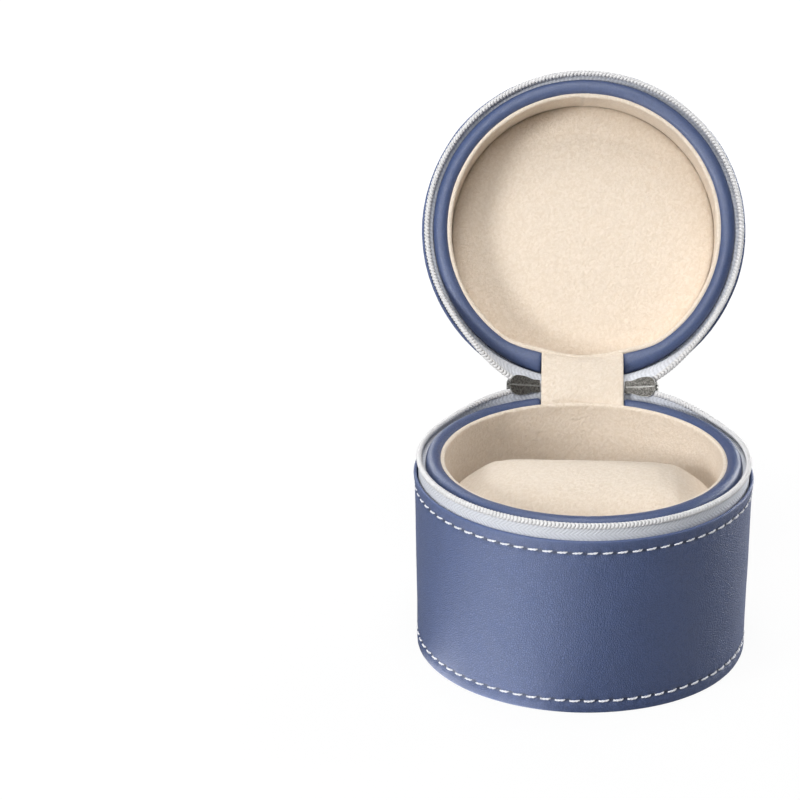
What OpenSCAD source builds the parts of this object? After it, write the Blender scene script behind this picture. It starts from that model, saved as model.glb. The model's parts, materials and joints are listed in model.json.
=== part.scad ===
// Round watch travel case: a leather-covered drum with a zip round its mouth,
// a lid hinged at the back on a leather strap, and a lift-out watch pillow.
// The table is Z = 0, the case stands on the Z axis, the hinge is at +Y.
// The lid parts are drawn shut and then turned open about the hinge line.

/* [Drum] */
// Radius of the leather wall at the table
base_r = 50.6; // [45:0.1:60]
// How much wider the wall is at its zip edge
wall_flare = 0.9; // [0.2:0.1:2]
// Height of the top of the collar ring above the table
collar_top_z = 62.3; // [50:0.1:90]
// How far the leather wall stops below the top of the collar
leather_drop = 5.3; // [4.6:0.1:7]
// Thickness of the leather wall
leather_t = 1.0; // [0.8:0.1:1.4]
// Thickness of the leather disc under the base
base_cover_t = 1.2; // [0.8:0.1:2]
// Thickness of the base board
base_board_t = 2.0; // [1.2:0.1:3]
// Thickness of the padded floor
floor_pad_t = 1.8; // [1:0.1:4]

/* [Collar] */
// Radial thickness of the leather-covered collar ring
collar_w = 4.9; // [3.5:0.1:6]
// Height of the collar ring
collar_h = 9.0; // [7:0.1:14]
// Radial gap between the collar and a slider of the zip
collar_gap = 0.3; // [0.2:0.05:0.4]
// Thickness of the suede lining
lining_t = 0.8; // [0.5:0.1:1.2]
// How far the lining wall stops short of the collar's crown
lining_drop = 1.5; // [0.5:0.1:3]

/* [Lid] */
// Height of the lid from its mouth to its top
lid_h = 24.0; // [20:0.1:40]
// Gap between the two collars when the lid is shut
mouth_gap = 0.8; // [0.6:0.1:1.5]
// How much narrower the lid wall is at its crown than at its zip edge
lid_taper = 0.7; // [0.2:0.1:1.5]
// Angle of the lid from shut to resting open
lid_open = 117; // [95:1:125]
// Angle of the closed end of the zip above the drum's rim with the lid open
zip_lift = 30; // [20:1:50]
// How far the hinge line lies inside the radius of the wall's zip edge
hinge_inset = 0.1; // [0:0.05:0.3]
// Thickness of the lid's top leather
lid_cover_t = 1.0; // [0.8:0.1:1.5]
// Thickness of the foam under the top leather
lid_foam_t = 0.8; // [0.5:0.1:2]
// Thickness of the lid board
lid_board_t = 1.6; // [1:0.1:2.5]
// Thickness of the foam behind the lid's lining disc
lining_foam_t = 1.1; // [0.5:0.1:2]

/* [Zip] */
// Width of one row of the coil along the radius
coil_w = 1.4; // [1:0.1:1.6]
// Height of one row of the coil
coil_h = 1.6; // [1.2:0.1:2]
// Gap between the two rows of the coil
coil_gap = 1.2; // [1:0.1:1.6]
// Thickness of the tape
tape_t = 0.5; // [0.3:0.05:0.8]
// How far the tape is tucked under the leather
tape_tuck = 6.5; // [4:0.1:9]

/* [Slider] */
// Length of a slider
slider_l = 10.0; // [8:0.1:12]
// Width of a slider at its nose
slider_w = 6.4; // [6:0.1:8]
// Width of a slider at its tail
slider_tail_w = 4.0; // [3.5:0.1:5]
// Thickness of the slider's inner plate
inner_plate_t = 0.6; // [0.5:0.05:0.7]
// Thickness of the slider's outer plate
outer_plate_t = 0.9; // [0.7:0.05:1.2]
// Gap between the coil and each plate
coil_clear = 0.35; // [0.3:0.05:0.5]
// Gap between the tail of a parked slider and the slot of the suede strap
park_gap = 0.16; // [0.1:0.02:0.5]
// Width of the bail across the slider
bail_w = 1.6; // [1.2:0.1:2]
// Thickness of the bail's strip
bail_t = 0.6; // [0.5:0.05:0.8]
// Length of the bail along the slider
bail_l = 5.6; // [5:0.1:6.5]

/* [Pull] */
// Diameter of the pull's cross bar
pull_pin_d = 1.0; // [0.8:0.05:1.2]
// Running gap round the cross bar and beside the bail
pull_clear = 0.3; // [0.2:0.05:0.4]
// Length of the pull from its bar to its tip
pull_l = 15; // [12:0.5:18]
// Width of the pull's leaf
pull_w = 6.0; // [5:0.1:7]
// Thickness of the pull
pull_t = 1.2; // [1:0.1:1.6]
// Width of each arm of the pull beside the bail
pull_arm_w = 0.8; // [0.6:0.1:1]

/* [Straps] */
// Width of the leather and suede hinge straps
strap_w = 26; // [22:0.5:27]
// Thickness of the leather strap
strap_t = 1.0; // [0.8:0.1:1.4]
// How far the leather strap lies on each wall
strap_lap = 8; // [6:0.5:12]
// Gap between a strap and the wall that it lies on
strap_gap = 0.3; // [0.2:0.05:0.4]

/* [Stitches] */
// Stitches in one row round the case
stitch_count = 72; // [60:1:80]
// Length of one stitch
stitch_l = 3.1; // [2.4:0.1:3.3]
// Diameter of the thread
thread_d = 0.55; // [0.4:0.05:0.7]
// Distance of a row of stitches from the edge that it follows
stitch_inset = 4.0; // [3:0.1:6]

/* [Pillow] */
// Width of the pillow from front to back
pillow_w = 47; // [38:0.5:56]
// Gap between the ends of the pillow and the lining
pillow_clear = 0.6; // [0.4:0.1:1.5]
// How far the top of the pillow lies below the top of the collar
pillow_drop = 6.0; // [5:0.1:10]
// Rounding of the pillow's long edges
pillow_edge_r = 19; // [12:0.5:22]
// Rounding of the pillow's ends
pillow_end_r = 13; // [8:0.5:18]
// Thickness of the pillow's cover
pillow_cover_t = 1.2; // [0.8:0.1:2]

/* [Hidden] */
$fn = 96;

NAVY = "#5d6a90";
NAVY_RING = "#6f80a6";
CREAM = "#e6d8c6";
BOARD = "#b9a98c";
FOAM = "#efe9d8";
WHITE = "#e4e6ec";
PEWTER = "#55565a";
CHROME = "#c8cacd";

eps = 0.01;
side_seat = 0.05;                  // running gap between pieces that lie against each other

// Radii, from the leather inwards
edge_r = base_r + wall_flare;
wrap_in_r = base_r - leather_t;
tuck_r = edge_r - leather_t;
zip_r = tuck_r - side_seat - tape_t / 2;
coil_in_r = zip_r - coil_w / 2;
coil_out_r = zip_r + coil_w / 2;
inner_plate_r = coil_in_r - coil_clear - inner_plate_t;
outer_plate_r = coil_out_r + coil_clear + outer_plate_t;
collar_r = inner_plate_r - collar_gap;
well_r = collar_r - collar_w;
lining_r = well_r - lining_t;
hinge_y = edge_r - hinge_inset;

// Heights of the drum
leather_z = collar_top_z - leather_drop;
board_z = base_cover_t + base_board_t;
floor_z = board_z + floor_pad_t;
collar_z = collar_top_z - collar_h;
tuck_z = leather_z - tape_tuck;
mid_z = collar_top_z + mouth_gap / 2;
body_coil_z = mid_z - coil_gap / 2 - coil_h;

// Heights of the shut lid
lid_mouth_z = collar_top_z + mouth_gap;
lid_top_z = lid_mouth_z + lid_h;
lid_edge_z = lid_mouth_z + leather_drop;
lid_tuck_z = 2 * mid_z - tuck_z;
lid_cover_z = lid_top_z - lid_cover_t;
lid_foam_z = lid_cover_z - lid_foam_t;
lid_board_z = lid_foam_z - lid_board_t;
lining_foam_z = lid_board_z - lining_foam_t;
lining_disc_z = lining_foam_z - lining_t;
crown_r = edge_r - lid_taper;
crown_in_r = crown_r - leather_t;
lid_shell_r = min(wrap_in_r, crown_in_r) - side_seat;

// Angles from the hinge of a parked slider, of the end of the meshed chain inside it, and
// of the start of the two open rows in front of its nose
notch_w = strap_w + 2 * strap_gap;
park_angle = asin((notch_w / 2 + park_gap) / inner_plate_r) + asin(slider_l / 2 / inner_plate_r);
neck_inset = 0.6;                  // from the slider's nose to its neck
neck_l = 1.8;
end_gap = 0.4;
chain_angle = park_angle + asin((slider_l / 2 - neck_inset - neck_l - end_gap) / zip_r);
row_angle = park_angle + asin((slider_l / 2 + end_gap) / coil_in_r);

// Slider and pull
pin_r = outer_plate_r + pull_clear + pull_pin_d / 2;
bail_r = pin_r + pull_pin_d / 2 + pull_clear + bail_t;
arm_z = bail_w / 2 + pull_clear;
strap_angle = asin((notch_w + stitch_l) / 2 / edge_r);
tuck_lead = 2;                     // length over which the leather thins above the tape

// Radius of the drum's wall and of the lid's wall at a height
function wall_r(z) = base_r + wall_flare * z / leather_z;
function lid_wall_r(z) = edge_r - lid_taper * (z - lid_edge_z) / (lid_cover_z - lid_edge_z);

// Points of an arc, for the round edges of a turned outline
function arc(center, r, from, to, n = 6) = [
    for (i = [0:n])
        center + r * [cos(from + (to - from) * i / n), sin(from + (to - from) * i / n)]
];

// ---------- shared shapes ----------

// A ring of rectangular section between two radii and two heights
module ring(r_in, r_out, z_low, z_high) {
    rotate_extrude()
        translate([r_in, z_low])
            square([r_out - r_in, z_high - z_low]);
}

// Turns what is drawn shut by an angle about the hinge line
module about_hinge(angle) {
    translate([0, hinge_y, mid_z])
        rotate([-angle, 0, 0])
            translate([0, -hinge_y, -mid_z])
                children();
}

module opened() {
    about_hinge(lid_open) children();
}

// The zip's own plane lies between the drum's rim and the lid's
module on_zip_plane() {
    about_hinge(zip_lift) children();
}

// Mirrors what belongs to the lid in the plane between the two collars
module over_mouth() {
    translate([0, 0, 2 * mid_z])
        mirror([0, 0, 1])
            children();
}

// The slot at the back of a collar through which the suede strap passes
module strap_slot(z_low, z_high) {
    translate([-notch_w / 2, 0, z_low])
        cube([notch_w, edge_r + 5, z_high - z_low]);
}

// A wedge at the hinge, as wide as the closed end of the zip on both sides
module zip_end_wedge(angle, z_low, z_high) {
    reach = 2 * edge_r;
    translate([0, 0, z_low])
        linear_extrude(z_high - z_low)
            polygon([[0, 0], [-reach * tan(angle), reach], [reach * tan(angle), reach]]);
}

// A row of threads round a wall, each lying along the wall, open by an angle at the hinge
module stitch_row(radius, z, hinge_gap = 0) {
    for (i = [0:stitch_count - 1])
        let (turn = (i + 0.5) * 360 / stitch_count)
            if (abs(turn - 180) >= hinge_gap)
                rotate([0, 0, turn])
                    translate([-stitch_l / 2, -radius - thread_d / 2 - side_seat, z])
                        rotate([0, 90, 0])
                            cylinder(d = thread_d, h = stitch_l, $fn = 24);
}

// Leather collar ring with a round crown, open at the suede strap
module collar_ring() {
    crown = collar_w / 2;
    difference() {
        rotate_extrude()
            translate([well_r, collar_z])
                polygon(concat(
                    [[0, 0], [collar_w, 0]],
                    arc([crown, collar_h - crown], crown, 0, 180, 16)
                ));
        strap_slot(collar_z - 1, collar_top_z + 1);
    }
}

// Tape ring, open at the closed end of the zip
module tape_ring() {
    difference() {
        ring(zip_r - tape_t / 2, zip_r + tape_t / 2, tuck_z, body_coil_z);
        zip_end_wedge(row_angle, tuck_z - 1, body_coil_z + 1);
    }
}

// One row of the coil, open at the closed end of the zip
module coil_ring() {
    difference() {
        ring(coil_in_r, coil_out_r, body_coil_z, body_coil_z + coil_h);
        zip_end_wedge(row_angle, body_coil_z - 1, body_coil_z + coil_h + 1);
    }
}

// ---------- drum ----------

module base_cover() {
    color(NAVY)
        cylinder(r = wrap_in_r - side_seat, h = base_cover_t);
}

module base_board() {
    color(BOARD)
        translate([0, 0, base_cover_t])
            cylinder(r = wrap_in_r - side_seat, h = base_board_t);
}

// The wall is a cone with a rounded foot and a rounded turned edge
module body_leather() {
    soft = leather_t / 2;
    color(NAVY)
        rotate_extrude()
            polygon(concat(
                arc([base_r - soft, soft], soft, 180, 360),
                arc([edge_r - soft, leather_z - soft], soft, 0, 180),
                [[tuck_r, tuck_z], [wrap_in_r, tuck_z - tuck_lead]]
            ));
}

module body_shell() {
    color(BOARD)
        ring(collar_r + side_seat, wrap_in_r - side_seat, board_z, leather_z);
}

module body_collar_board() {
    color(BOARD)
        ring(well_r, collar_r, board_z, collar_z);
}

module body_collar() {
    color(NAVY_RING)
        collar_ring();
}

module body_lining() {
    color(CREAM)
        ring(lining_r, well_r - side_seat, board_z, collar_top_z - lining_drop);
}

module floor_pad() {
    color(CREAM)
        translate([0, 0, board_z])
            cylinder(r = lining_r - side_seat, h = floor_pad_t);
}

module body_zip_tape() {
    color(WHITE)
        tape_ring();
}

module body_zip_coil() {
    color(WHITE)
        coil_ring();
}

module body_edge_stitches() {
    color(WHITE)
        stitch_row(wall_r(leather_z - stitch_inset), leather_z - stitch_inset, strap_angle);
}

module base_stitches() {
    color(WHITE)
        stitch_row(wall_r(stitch_inset), stitch_inset);
}

// ---------- lid, drawn shut and turned open ----------

module lid_leather() {
    soft = leather_t / 2;
    opened()
        color(NAVY)
            rotate_extrude()
                polygon(concat(
                    arc([edge_r - soft, lid_edge_z + soft], soft, -180, 0),
                    [
                        [crown_r, lid_cover_z], [crown_in_r, lid_cover_z],
                        [crown_in_r, lid_tuck_z + tuck_lead], [tuck_r, lid_tuck_z]
                    ]
                ));
}

module lid_shell() {
    opened()
        color(BOARD)
            ring(collar_r + side_seat, lid_shell_r, lid_edge_z, lid_board_z);
}

module lid_collar_board() {
    opened()
        color(BOARD)
            ring(well_r, collar_r, 2 * mid_z - collar_z, lid_board_z);
}

module lid_collar() {
    opened()
        color(NAVY_RING)
            over_mouth()
                collar_ring();
}

module lid_lining() {
    opened()
        color(CREAM)
            ring(lining_r, well_r - side_seat, lid_mouth_z + lining_drop, lid_board_z);
}

module lid_lining_disc() {
    opened()
        color(CREAM)
            translate([0, 0, lining_disc_z])
                cylinder(r = lining_r - side_seat, h = lining_t);
}

module lid_lining_foam() {
    opened()
        color(FOAM)
            translate([0, 0, lining_foam_z])
                cylinder(r = lining_r - side_seat, h = lining_foam_t);
}

module lid_board() {
    opened()
        color(BOARD)
            translate([0, 0, lid_board_z])
                cylinder(r = crown_in_r - side_seat, h = lid_board_t);
}

module lid_top_foam() {
    opened()
        color(FOAM)
            translate([0, 0, lid_foam_z])
                cylinder(r = crown_in_r - side_seat, h = lid_foam_t);
}

// The top panel covers the wall's crown and has a rounded rim
module lid_top_cover() {
    soft = lid_cover_t / 2;
    opened()
        color(NAVY)
            rotate_extrude()
                translate([0, lid_cover_z])
                    polygon(concat([[0, 0]], arc([crown_r - soft, soft], soft, -90, 90), [[0, lid_cover_t]]));
}

module lid_zip_tape() {
    opened()
        color(WHITE)
            over_mouth()
                tape_ring();
}

module lid_zip_coil() {
    opened()
        color(WHITE)
            over_mouth()
                coil_ring();
}

module lid_edge_stitches() {
    opened()
        color(WHITE)
            stitch_row(lid_wall_r(lid_edge_z + stitch_inset), lid_edge_z + stitch_inset, strap_angle);
}

module lid_crown_stitches() {
    opened()
        color(WHITE)
            stitch_row(lid_wall_r(lid_cover_z - stitch_inset), lid_cover_z - stitch_inset);
}

// ---------- hinge straps ----------

// A point of the shut lid, given from the hinge line, as it lies with the lid open
function folded(p) = [
    hinge_y + p[0] * cos(lid_open) + p[1] * sin(lid_open),
    mid_z - p[0] * sin(lid_open) + p[1] * cos(lid_open)
];
function unit(v) = v / norm(v);
function path_dir(path, i) = unit(path[min(i + 1, len(path) - 1)] - path[max(i - 1, 0)]);
function side(path, i, d) = path[i] + d * [-path_dir(path, i)[1], path_dir(path, i)[0]];

// A strip of constant thickness along a path in the YZ plane, centred on X = 0
module strip(path, t, width) {
    last = len(path) - 1;
    translate([-width / 2, 0, 0])
        rotate([90, 0, 90])
            linear_extrude(width)
                polygon(concat(
                    [for (i = [0:last]) side(path, i, t / 2)],
                    [for (i = [0:last]) side(path, last - i, -t / 2)]
                ));
}

// Points of a quadratic curve from a to c, drawn towards b
function bend(a, b, c, n) = [
    for (i = [0:n])
        let (u = i / n)
            (1 - u) * (1 - u) * a + 2 * u * (1 - u) * b + u * u * c
];

// Leather strap on the outside: up the drum's back, over the hinge and down the lid's back
module hinge_leather() {
    out = edge_r - hinge_y + strap_gap + strap_t / 2;
    rise = leather_drop + mouth_gap / 2;
    foot = [hinge_y + out, mid_z - rise - strap_lap];
    brow = [hinge_y + out, mid_z - rise + 1];
    lid_brow = folded([out, rise - 1]);
    lid_foot = folded([out, rise + strap_lap]);
    over = [(brow[0] + lid_brow[0]) / 2, mid_z - 0.3];
    color(NAVY)
        strip(concat([foot], bend(brow, over, lid_brow, 10), [lid_foot]), strap_t, strap_w);
}

// Suede strap on the inside, from the drum's lining to the lid's lining
module hinge_suede() {
    seat = well_r + side_seat + strap_gap + lining_t / 2 - hinge_y;
    low = [hinge_y + seat, collar_z + strap_gap];
    high = [hinge_y + seat, collar_top_z - lining_drop];
    lid_high = folded([seat, mid_z - collar_top_z + lining_drop]);
    lid_low = folded([seat, mid_z - collar_z - strap_gap]);
    crest = [high[0] + 0.5, lid_high[1] - 1];
    color(CREAM)
        strip(concat([low], bend(high, crest, lid_high, 10), [lid_low]), lining_t, strap_w);
}

// ---------- zip end, sliders and pulls, drawn with the zip's plane level ----------

// The two rows of coil, meshed, from one side of the hinge to the other
module zip_end_chain() {
    half = coil_gap / 2 + coil_h;
    on_zip_plane()
        color(WHITE)
            intersection() {
                ring(coil_in_r, coil_out_r, mid_z - half, mid_z + half);
                zip_end_wedge(chain_angle, mid_z - half - 1, mid_z + half + 1);
            }
}

// Metal staples round the two ends of the sewn chain
module zip_end_stops() {
    half = coil_gap / 2 + coil_h + side_seat;
    staple = 0.25;
    staple_l = 1.8;
    across = coil_w + 2 * staple;
    on_zip_plane()
        color(CHROME)
            for (turn = [-1, 1])
                rotate([0, 0, turn * park_angle / 3])
                    translate([-staple_l / 2, zip_r - across / 2, mid_z - half])
                        difference() {
                            translate([0, -staple, -staple])
                                cube([staple_l, across + 2 * staple, 2 * (half + staple)]);
                            translate([-1, 0, 0])
                                cube([staple_l + 2, across, 2 * half]);
                        }
}

// Places a slider, drawn at +Y with its nose towards -X, at its parked angle
module parked(turn) {
    on_zip_plane()
        rotate([0, 0, turn * park_angle])
            mirror([turn < 0 ? 1 : 0, 0, 0])
                children();
}

// Shield outline of a slider as a prism along Y, with its nose at -X
module slider_outline(shrink) {
    nose = slider_w / 2 - shrink;
    tail = slider_tail_w / 2 - shrink;
    half = slider_l / 2;
    translate([0, edge_r + 10, mid_z])
        rotate([90, 0, 0])
            linear_extrude(edge_r)
                polygon([
                    [-half, -nose * 0.45], [-half, nose * 0.45], [-half + 1.2, nose * 0.9],
                    [-half + 2.6, nose], [0, nose * 0.92], [half * 0.5, tail],
                    [half, tail], [half, -tail], [half * 0.5, -tail],
                    [0, -nose * 0.92], [-half + 2.6, -nose], [-half + 1.2, -nose * 0.9]
                ]);
}

// Two plates, a neck between them at the nose and a rail along each edge
module slider_body() {
    half_slot = coil_gap / 2 - pull_clear;
    rail = 0.45;
    rail_z = coil_gap / 2 + coil_h + coil_clear;
    color(PEWTER) {
        intersection() {
            union() {
                ring(inner_plate_r, inner_plate_r + inner_plate_t, mid_z - slider_w, mid_z + slider_w);
                ring(outer_plate_r - outer_plate_t, outer_plate_r, mid_z - slider_w, mid_z + slider_w);
                for (up = [-1, 1])
                    translate([0, 0, mid_z + up * (rail_z + slider_w / 2)])
                        slider_rails(rail, slider_w / 2);
            }
            slider_outline(0);
        }
        intersection() {
            translate([-slider_l / 2 + neck_inset, 0, mid_z - half_slot])
                cube([neck_l, edge_r + 5, 2 * half_slot]);
            ring(inner_plate_r + eps, outer_plate_r - eps, mid_z - 1, mid_z + 1);
        }
    }
}

// Rails of the two plates, centred on Z = 0, with room for the tape between them
module slider_rails(depth, half_h) {
    for (span = [
        [inner_plate_r, inner_plate_r + inner_plate_t + depth],
        [outer_plate_r - outer_plate_t - depth, outer_plate_r]
    ])
        ring(span[0], span[1], -half_h, half_h);
}

// Arched strip along the slider, standing on the outer plate
module slider_bail() {
    color(CHROME)
        translate([0, 0, mid_z - bail_w / 2])
            linear_extrude(bail_w)
                difference() {
                    translate([-bail_l / 2, outer_plate_r - bail_t / 2])
                        square([bail_l, bail_r - outer_plate_r + bail_t / 2]);
                    translate([-bail_l / 2 + bail_t, 0])
                        square([bail_l - 2 * bail_t, bail_r - bail_t]);
                    circle(r = outer_plate_r, $fn = 96);
                }
}

// Leaf with two arms beside the bail and a cross bar under it
module slider_pull() {
    arm_l = norm([bail_l / 2, bail_r - pin_r]) + pull_clear;
    leaf_l = pull_l - arm_l;
    inner = arm_z;
    outer = arm_z + pull_arm_w;
    color(PEWTER)
        translate([0, pin_r, mid_z])
            union() {
                translate([0, 0, -outer])
                    cylinder(d = pull_pin_d, h = 2 * outer, $fn = 32);
                for (up = [0, 1])
                    mirror([0, 0, up])
                        translate([-pull_t / 2, 0, inner])
                            cube([pull_t, arm_l + eps, pull_arm_w]);
                rotate([0, -90, 0])
                    translate([0, 0, -pull_t / 2])
                        linear_extrude(pull_t)
                            pull_leaf(arm_l, leaf_l, outer);
            }
}

// Outline of the leaf: shoulders, a belly and a round tip
module pull_leaf(start, length, shoulder) {
    belly = pull_w / 2;
    polygon([
        [-shoulder, start], [-shoulder, start + 1], [-belly * 0.8, start + length * 0.25],
        [-belly, start + length * 0.45], [-belly, start + length - belly],
        [belly, start + length - belly], [belly, start + length * 0.45],
        [belly * 0.8, start + length * 0.25], [shoulder, start + 1], [shoulder, start]
    ]);
    translate([0, start + length - belly])
        circle(r = belly, $fn = 48);
}

// Hangs a pull straight down the zip's plane from its parked slider
module hung(turn) {
    on_zip_plane()
        rotate([0, 0, turn * park_angle])
            translate([0, pin_r, 0])
                rotate([0, 0, -turn * park_angle])
                    translate([0, -pin_r, 0])
                        children();
}

module slider_body_left() { parked(1) slider_body(); }
module slider_bail_left() { parked(1) slider_bail(); }
module slider_pull_left() { hung(1) slider_pull(); }
module slider_body_right() { parked(-1) slider_body(); }
module slider_bail_right() { parked(-1) slider_bail(); }
module slider_pull_right() { hung(-1) slider_pull(); }

// ---------- pillow ----------

// Rectangle with round corners, centred on X, standing on Y = 0
module round_rect(w, h, r) {
    translate([-w / 2 + r, 0])
        square([w - 2 * r, h]);
    translate([-w / 2, r])
        square([w, h - 2 * r]);
    for (x = [-w / 2 + r, w / 2 - r])
        for (y = [r, h - r])
            translate([x, y])
                circle(r = r);
}

// Cushion of oval section with round ends, smaller all round by inset
module pillow_shape(inset) {
    end_r = lining_r - pillow_clear - inset;
    w = pillow_w - 2 * inset;
    h = collar_top_z - pillow_drop - floor_z - 2 * inset;
    end_flat = 0.8;                // how far the flat of each end cuts into its round
    translate([0, 0, floor_z + inset])
        intersection() {
            rotate([90, 0, 90])
                translate([0, 0, -end_r])
                    linear_extrude(2 * end_r)
                        round_rect(w, h, pillow_edge_r - inset);
            rotate([90, 0, 0])
                translate([0, 0, -w])
                    linear_extrude(2 * w)
                        round_rect(2 * (end_r - end_flat), h, pillow_end_r - inset);
            cylinder(r = end_r, h = h);
        }
}

module pillow_cover() {
    color(CREAM)
        difference() {
            pillow_shape(0);
            pillow_shape(pillow_cover_t);
        }
}

module pillow_core() {
    color(FOAM)
        pillow_shape(pillow_cover_t + side_seat);
}

base_cover();
base_board();
body_leather();
body_shell();
body_collar_board();
body_collar();
body_lining();
floor_pad();
body_zip_tape();
body_zip_coil();
body_edge_stitches();
base_stitches();
hinge_leather();
hinge_suede();
lid_leather();
lid_shell();
lid_collar_board();
lid_collar();
lid_lining();
lid_lining_disc();
lid_lining_foam();
lid_board();
lid_top_foam();
lid_top_cover();
lid_zip_tape();
lid_zip_coil();
lid_edge_stitches();
lid_crown_stitches();
zip_end_chain();
zip_end_stops();
slider_body_left();
slider_bail_left();
slider_pull_left();
slider_body_right();
slider_bail_right();
slider_pull_right();
pillow_cover();
pillow_core();
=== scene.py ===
import json
import math

import bmesh
import bpy
import numpy as np
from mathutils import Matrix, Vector, noise


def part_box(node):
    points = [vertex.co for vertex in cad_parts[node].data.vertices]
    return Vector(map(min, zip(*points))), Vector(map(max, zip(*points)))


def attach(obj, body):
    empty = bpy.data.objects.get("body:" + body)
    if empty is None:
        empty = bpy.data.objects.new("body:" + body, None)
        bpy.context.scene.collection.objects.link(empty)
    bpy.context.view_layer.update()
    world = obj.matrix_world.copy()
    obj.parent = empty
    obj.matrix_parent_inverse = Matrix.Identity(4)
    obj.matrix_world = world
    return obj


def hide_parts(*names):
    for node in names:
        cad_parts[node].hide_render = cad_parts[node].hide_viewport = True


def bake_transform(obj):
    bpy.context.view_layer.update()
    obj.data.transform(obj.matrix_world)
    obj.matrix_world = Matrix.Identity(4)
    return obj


bl_info = {
    "name": "Watch travel case",
    "version": (1, 0, 0),
    "blender": (4, 5, 0),
    "location": "View3D > Sidebar > Case",
    "description": "Leather, suede, zip, thread and pillow of a round watch travel case",
    "category": "Object",
}

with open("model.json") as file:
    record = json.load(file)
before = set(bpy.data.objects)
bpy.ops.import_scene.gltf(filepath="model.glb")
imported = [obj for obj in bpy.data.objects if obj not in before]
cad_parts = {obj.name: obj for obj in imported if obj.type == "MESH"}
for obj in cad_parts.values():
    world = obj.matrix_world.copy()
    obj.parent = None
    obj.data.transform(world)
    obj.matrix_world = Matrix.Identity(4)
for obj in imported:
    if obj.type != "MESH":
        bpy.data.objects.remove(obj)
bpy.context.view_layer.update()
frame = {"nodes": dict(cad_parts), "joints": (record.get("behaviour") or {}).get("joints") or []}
JOINTS = {joint["name"]: joint for joint in frame["joints"]}

# Radius of the inner side of a parked slider, and its gap to the strap's slot, in millimetres.
PARKED_AT = 48.55
PARK_GAP = 0.16
# Thickness of the lid's top panel, and how deep the stitches lie in the leather, in millimetres.
PANEL = 1.0
SUNK = 0.12


# ---------------------------------------------------------------- sizes and colours


def low(node, axis):
    """Lowest coordinate of a CAD node on an axis, in metres."""
    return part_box(node)[0][axis]


def high(node, axis):
    """Highest coordinate of a CAD node on an axis, in metres."""
    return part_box(node)[1][axis]


def length(name, description, default):
    """A size in metres that the panel shows in the scene's units."""
    return bpy.props.FloatProperty(
        name=name, description=description, default=default, unit="LENGTH", subtype="DISTANCE", precision=5
    )


def colour(name, description, default):
    """A colour that the panel shows as a swatch."""
    return bpy.props.FloatVectorProperty(
        name=name, description=description, default=default, size=3, min=0, max=1, subtype="COLOR"
    )


class CaseSizes(bpy.types.PropertyGroup):
    """Sizes of the case, drawn shut"""

    edge_radius: length("Leather edge radius", "Radius of the leather at the zip", high("body_leather", 0))
    foot_radius: length("Foot radius", "Radius of the leather at the table", 0.0506)
    crown_radius: length("Crown radius", "Radius of the lid's leather at its top", 0.0508)
    leather_top: length("Leather height", "Height of the drum's leather edge", high("body_leather", 2))
    leather: length("Leather thickness", "Thickness of the leather wall", 0.001)
    tuck: length("Tuck height", "Height of the tape's hidden edge", low("body_zip_tape", 2))
    ring_outer: length("Collar outer radius", "Outer radius of the collar", high("body_collar", 0))
    ring_width: length("Collar width", "Radial width of the collar", 0.0049)
    ring_top: length("Collar top", "Height of the collar's crown", high("body_collar", 2))
    ring_bottom: length("Collar foot", "Height of the collar's foot", low("body_collar", 2))
    lining_radius: length("Lining radius", "Inner radius of the suede wall", 0.04255)
    lining_top: length("Lining top", "Height of the suede wall's lip", high("body_lining", 2))
    board_top: length("Base board top", "Height of the top of the base board", high("base_board", 2))
    floor_top: length("Floor top", "Height of the padded floor", high("floor_pad", 2))
    coil_outer: length("Coil outer radius", "Outer radius of the zip's coil", high("body_zip_coil", 0))
    coil_width: length("Coil width", "Radial width of the coil", 0.0014)
    coil_bottom: length("Coil foot", "Height of the lower side of the coil", low("body_zip_coil", 2))
    coil_top: length("Coil top", "Height of the free side of the coil", high("body_zip_coil", 2))
    tooth_pitch: length("Tooth pitch", "Distance from one turn of the coil to the next", 0.00115)
    tape: length("Tape thickness", "Thickness of the zip's tape", 0.0005)
    lid_top: length("Lid top", "Height of the shut case", 0.0871)
    lid_lining: length("Lid lining depth", "Height of the lid's suede disc, shut", 0.0818)
    strap_width: length("Strap width", "Width of the two hinge straps", 0.026)
    slot_width: length("Slot width", "Width of the collar's slot for the strap", 0.0266)
    stitch: length("Stitch length", "Length of one stitch", 0.0033)
    thread: length("Thread", "Diameter of the sewing thread", 0.00066)
    inset: length("Stitch inset", "Distance of a row of stitches from its edge", 0.004)
    slider: length("Slider length", "Length of a slider", 0.010)
    slider_nose: length("Slider nose", "Width of a slider at its nose", 0.0064)
    slider_tail: length("Slider tail", "Width of a slider at its tail", 0.004)
    stitches: bpy.props.IntProperty(
        name="Stitches", description="Stitches in one row round the case", default=72, min=24, max=120
    )


class CaseColours(bpy.types.PropertyGroup):
    """Colours of the case"""

    navy: colour("Wall leather", "Colour of the drum's and lid's leather", (0.041, 0.070, 0.178))
    ring: colour("Collar leather", "Colour of the two collars", (0.049, 0.079, 0.186))
    suede: colour("Suede", "Colour of the lining and pillow", (0.850, 0.750, 0.640))
    tape: colour("Tape", "Colour of the zip's tape", (0.675, 0.695, 0.745))
    coil: colour("Coil", "Colour of the nylon coil", (0.680, 0.676, 0.680))
    thread: colour("Thread", "Colour of the sewing thread", (0.860, 0.870, 0.915))
    pewter: colour("Pewter", "Colour of the sliders and pulls", (0.165, 0.160, 0.148))
    bright: colour("Bright metal", "Colour of the bails and staples", (0.70, 0.705, 0.715))
    board: colour("Greyboard", "Colour of the boards inside the walls", (0.42, 0.36, 0.26))


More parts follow.
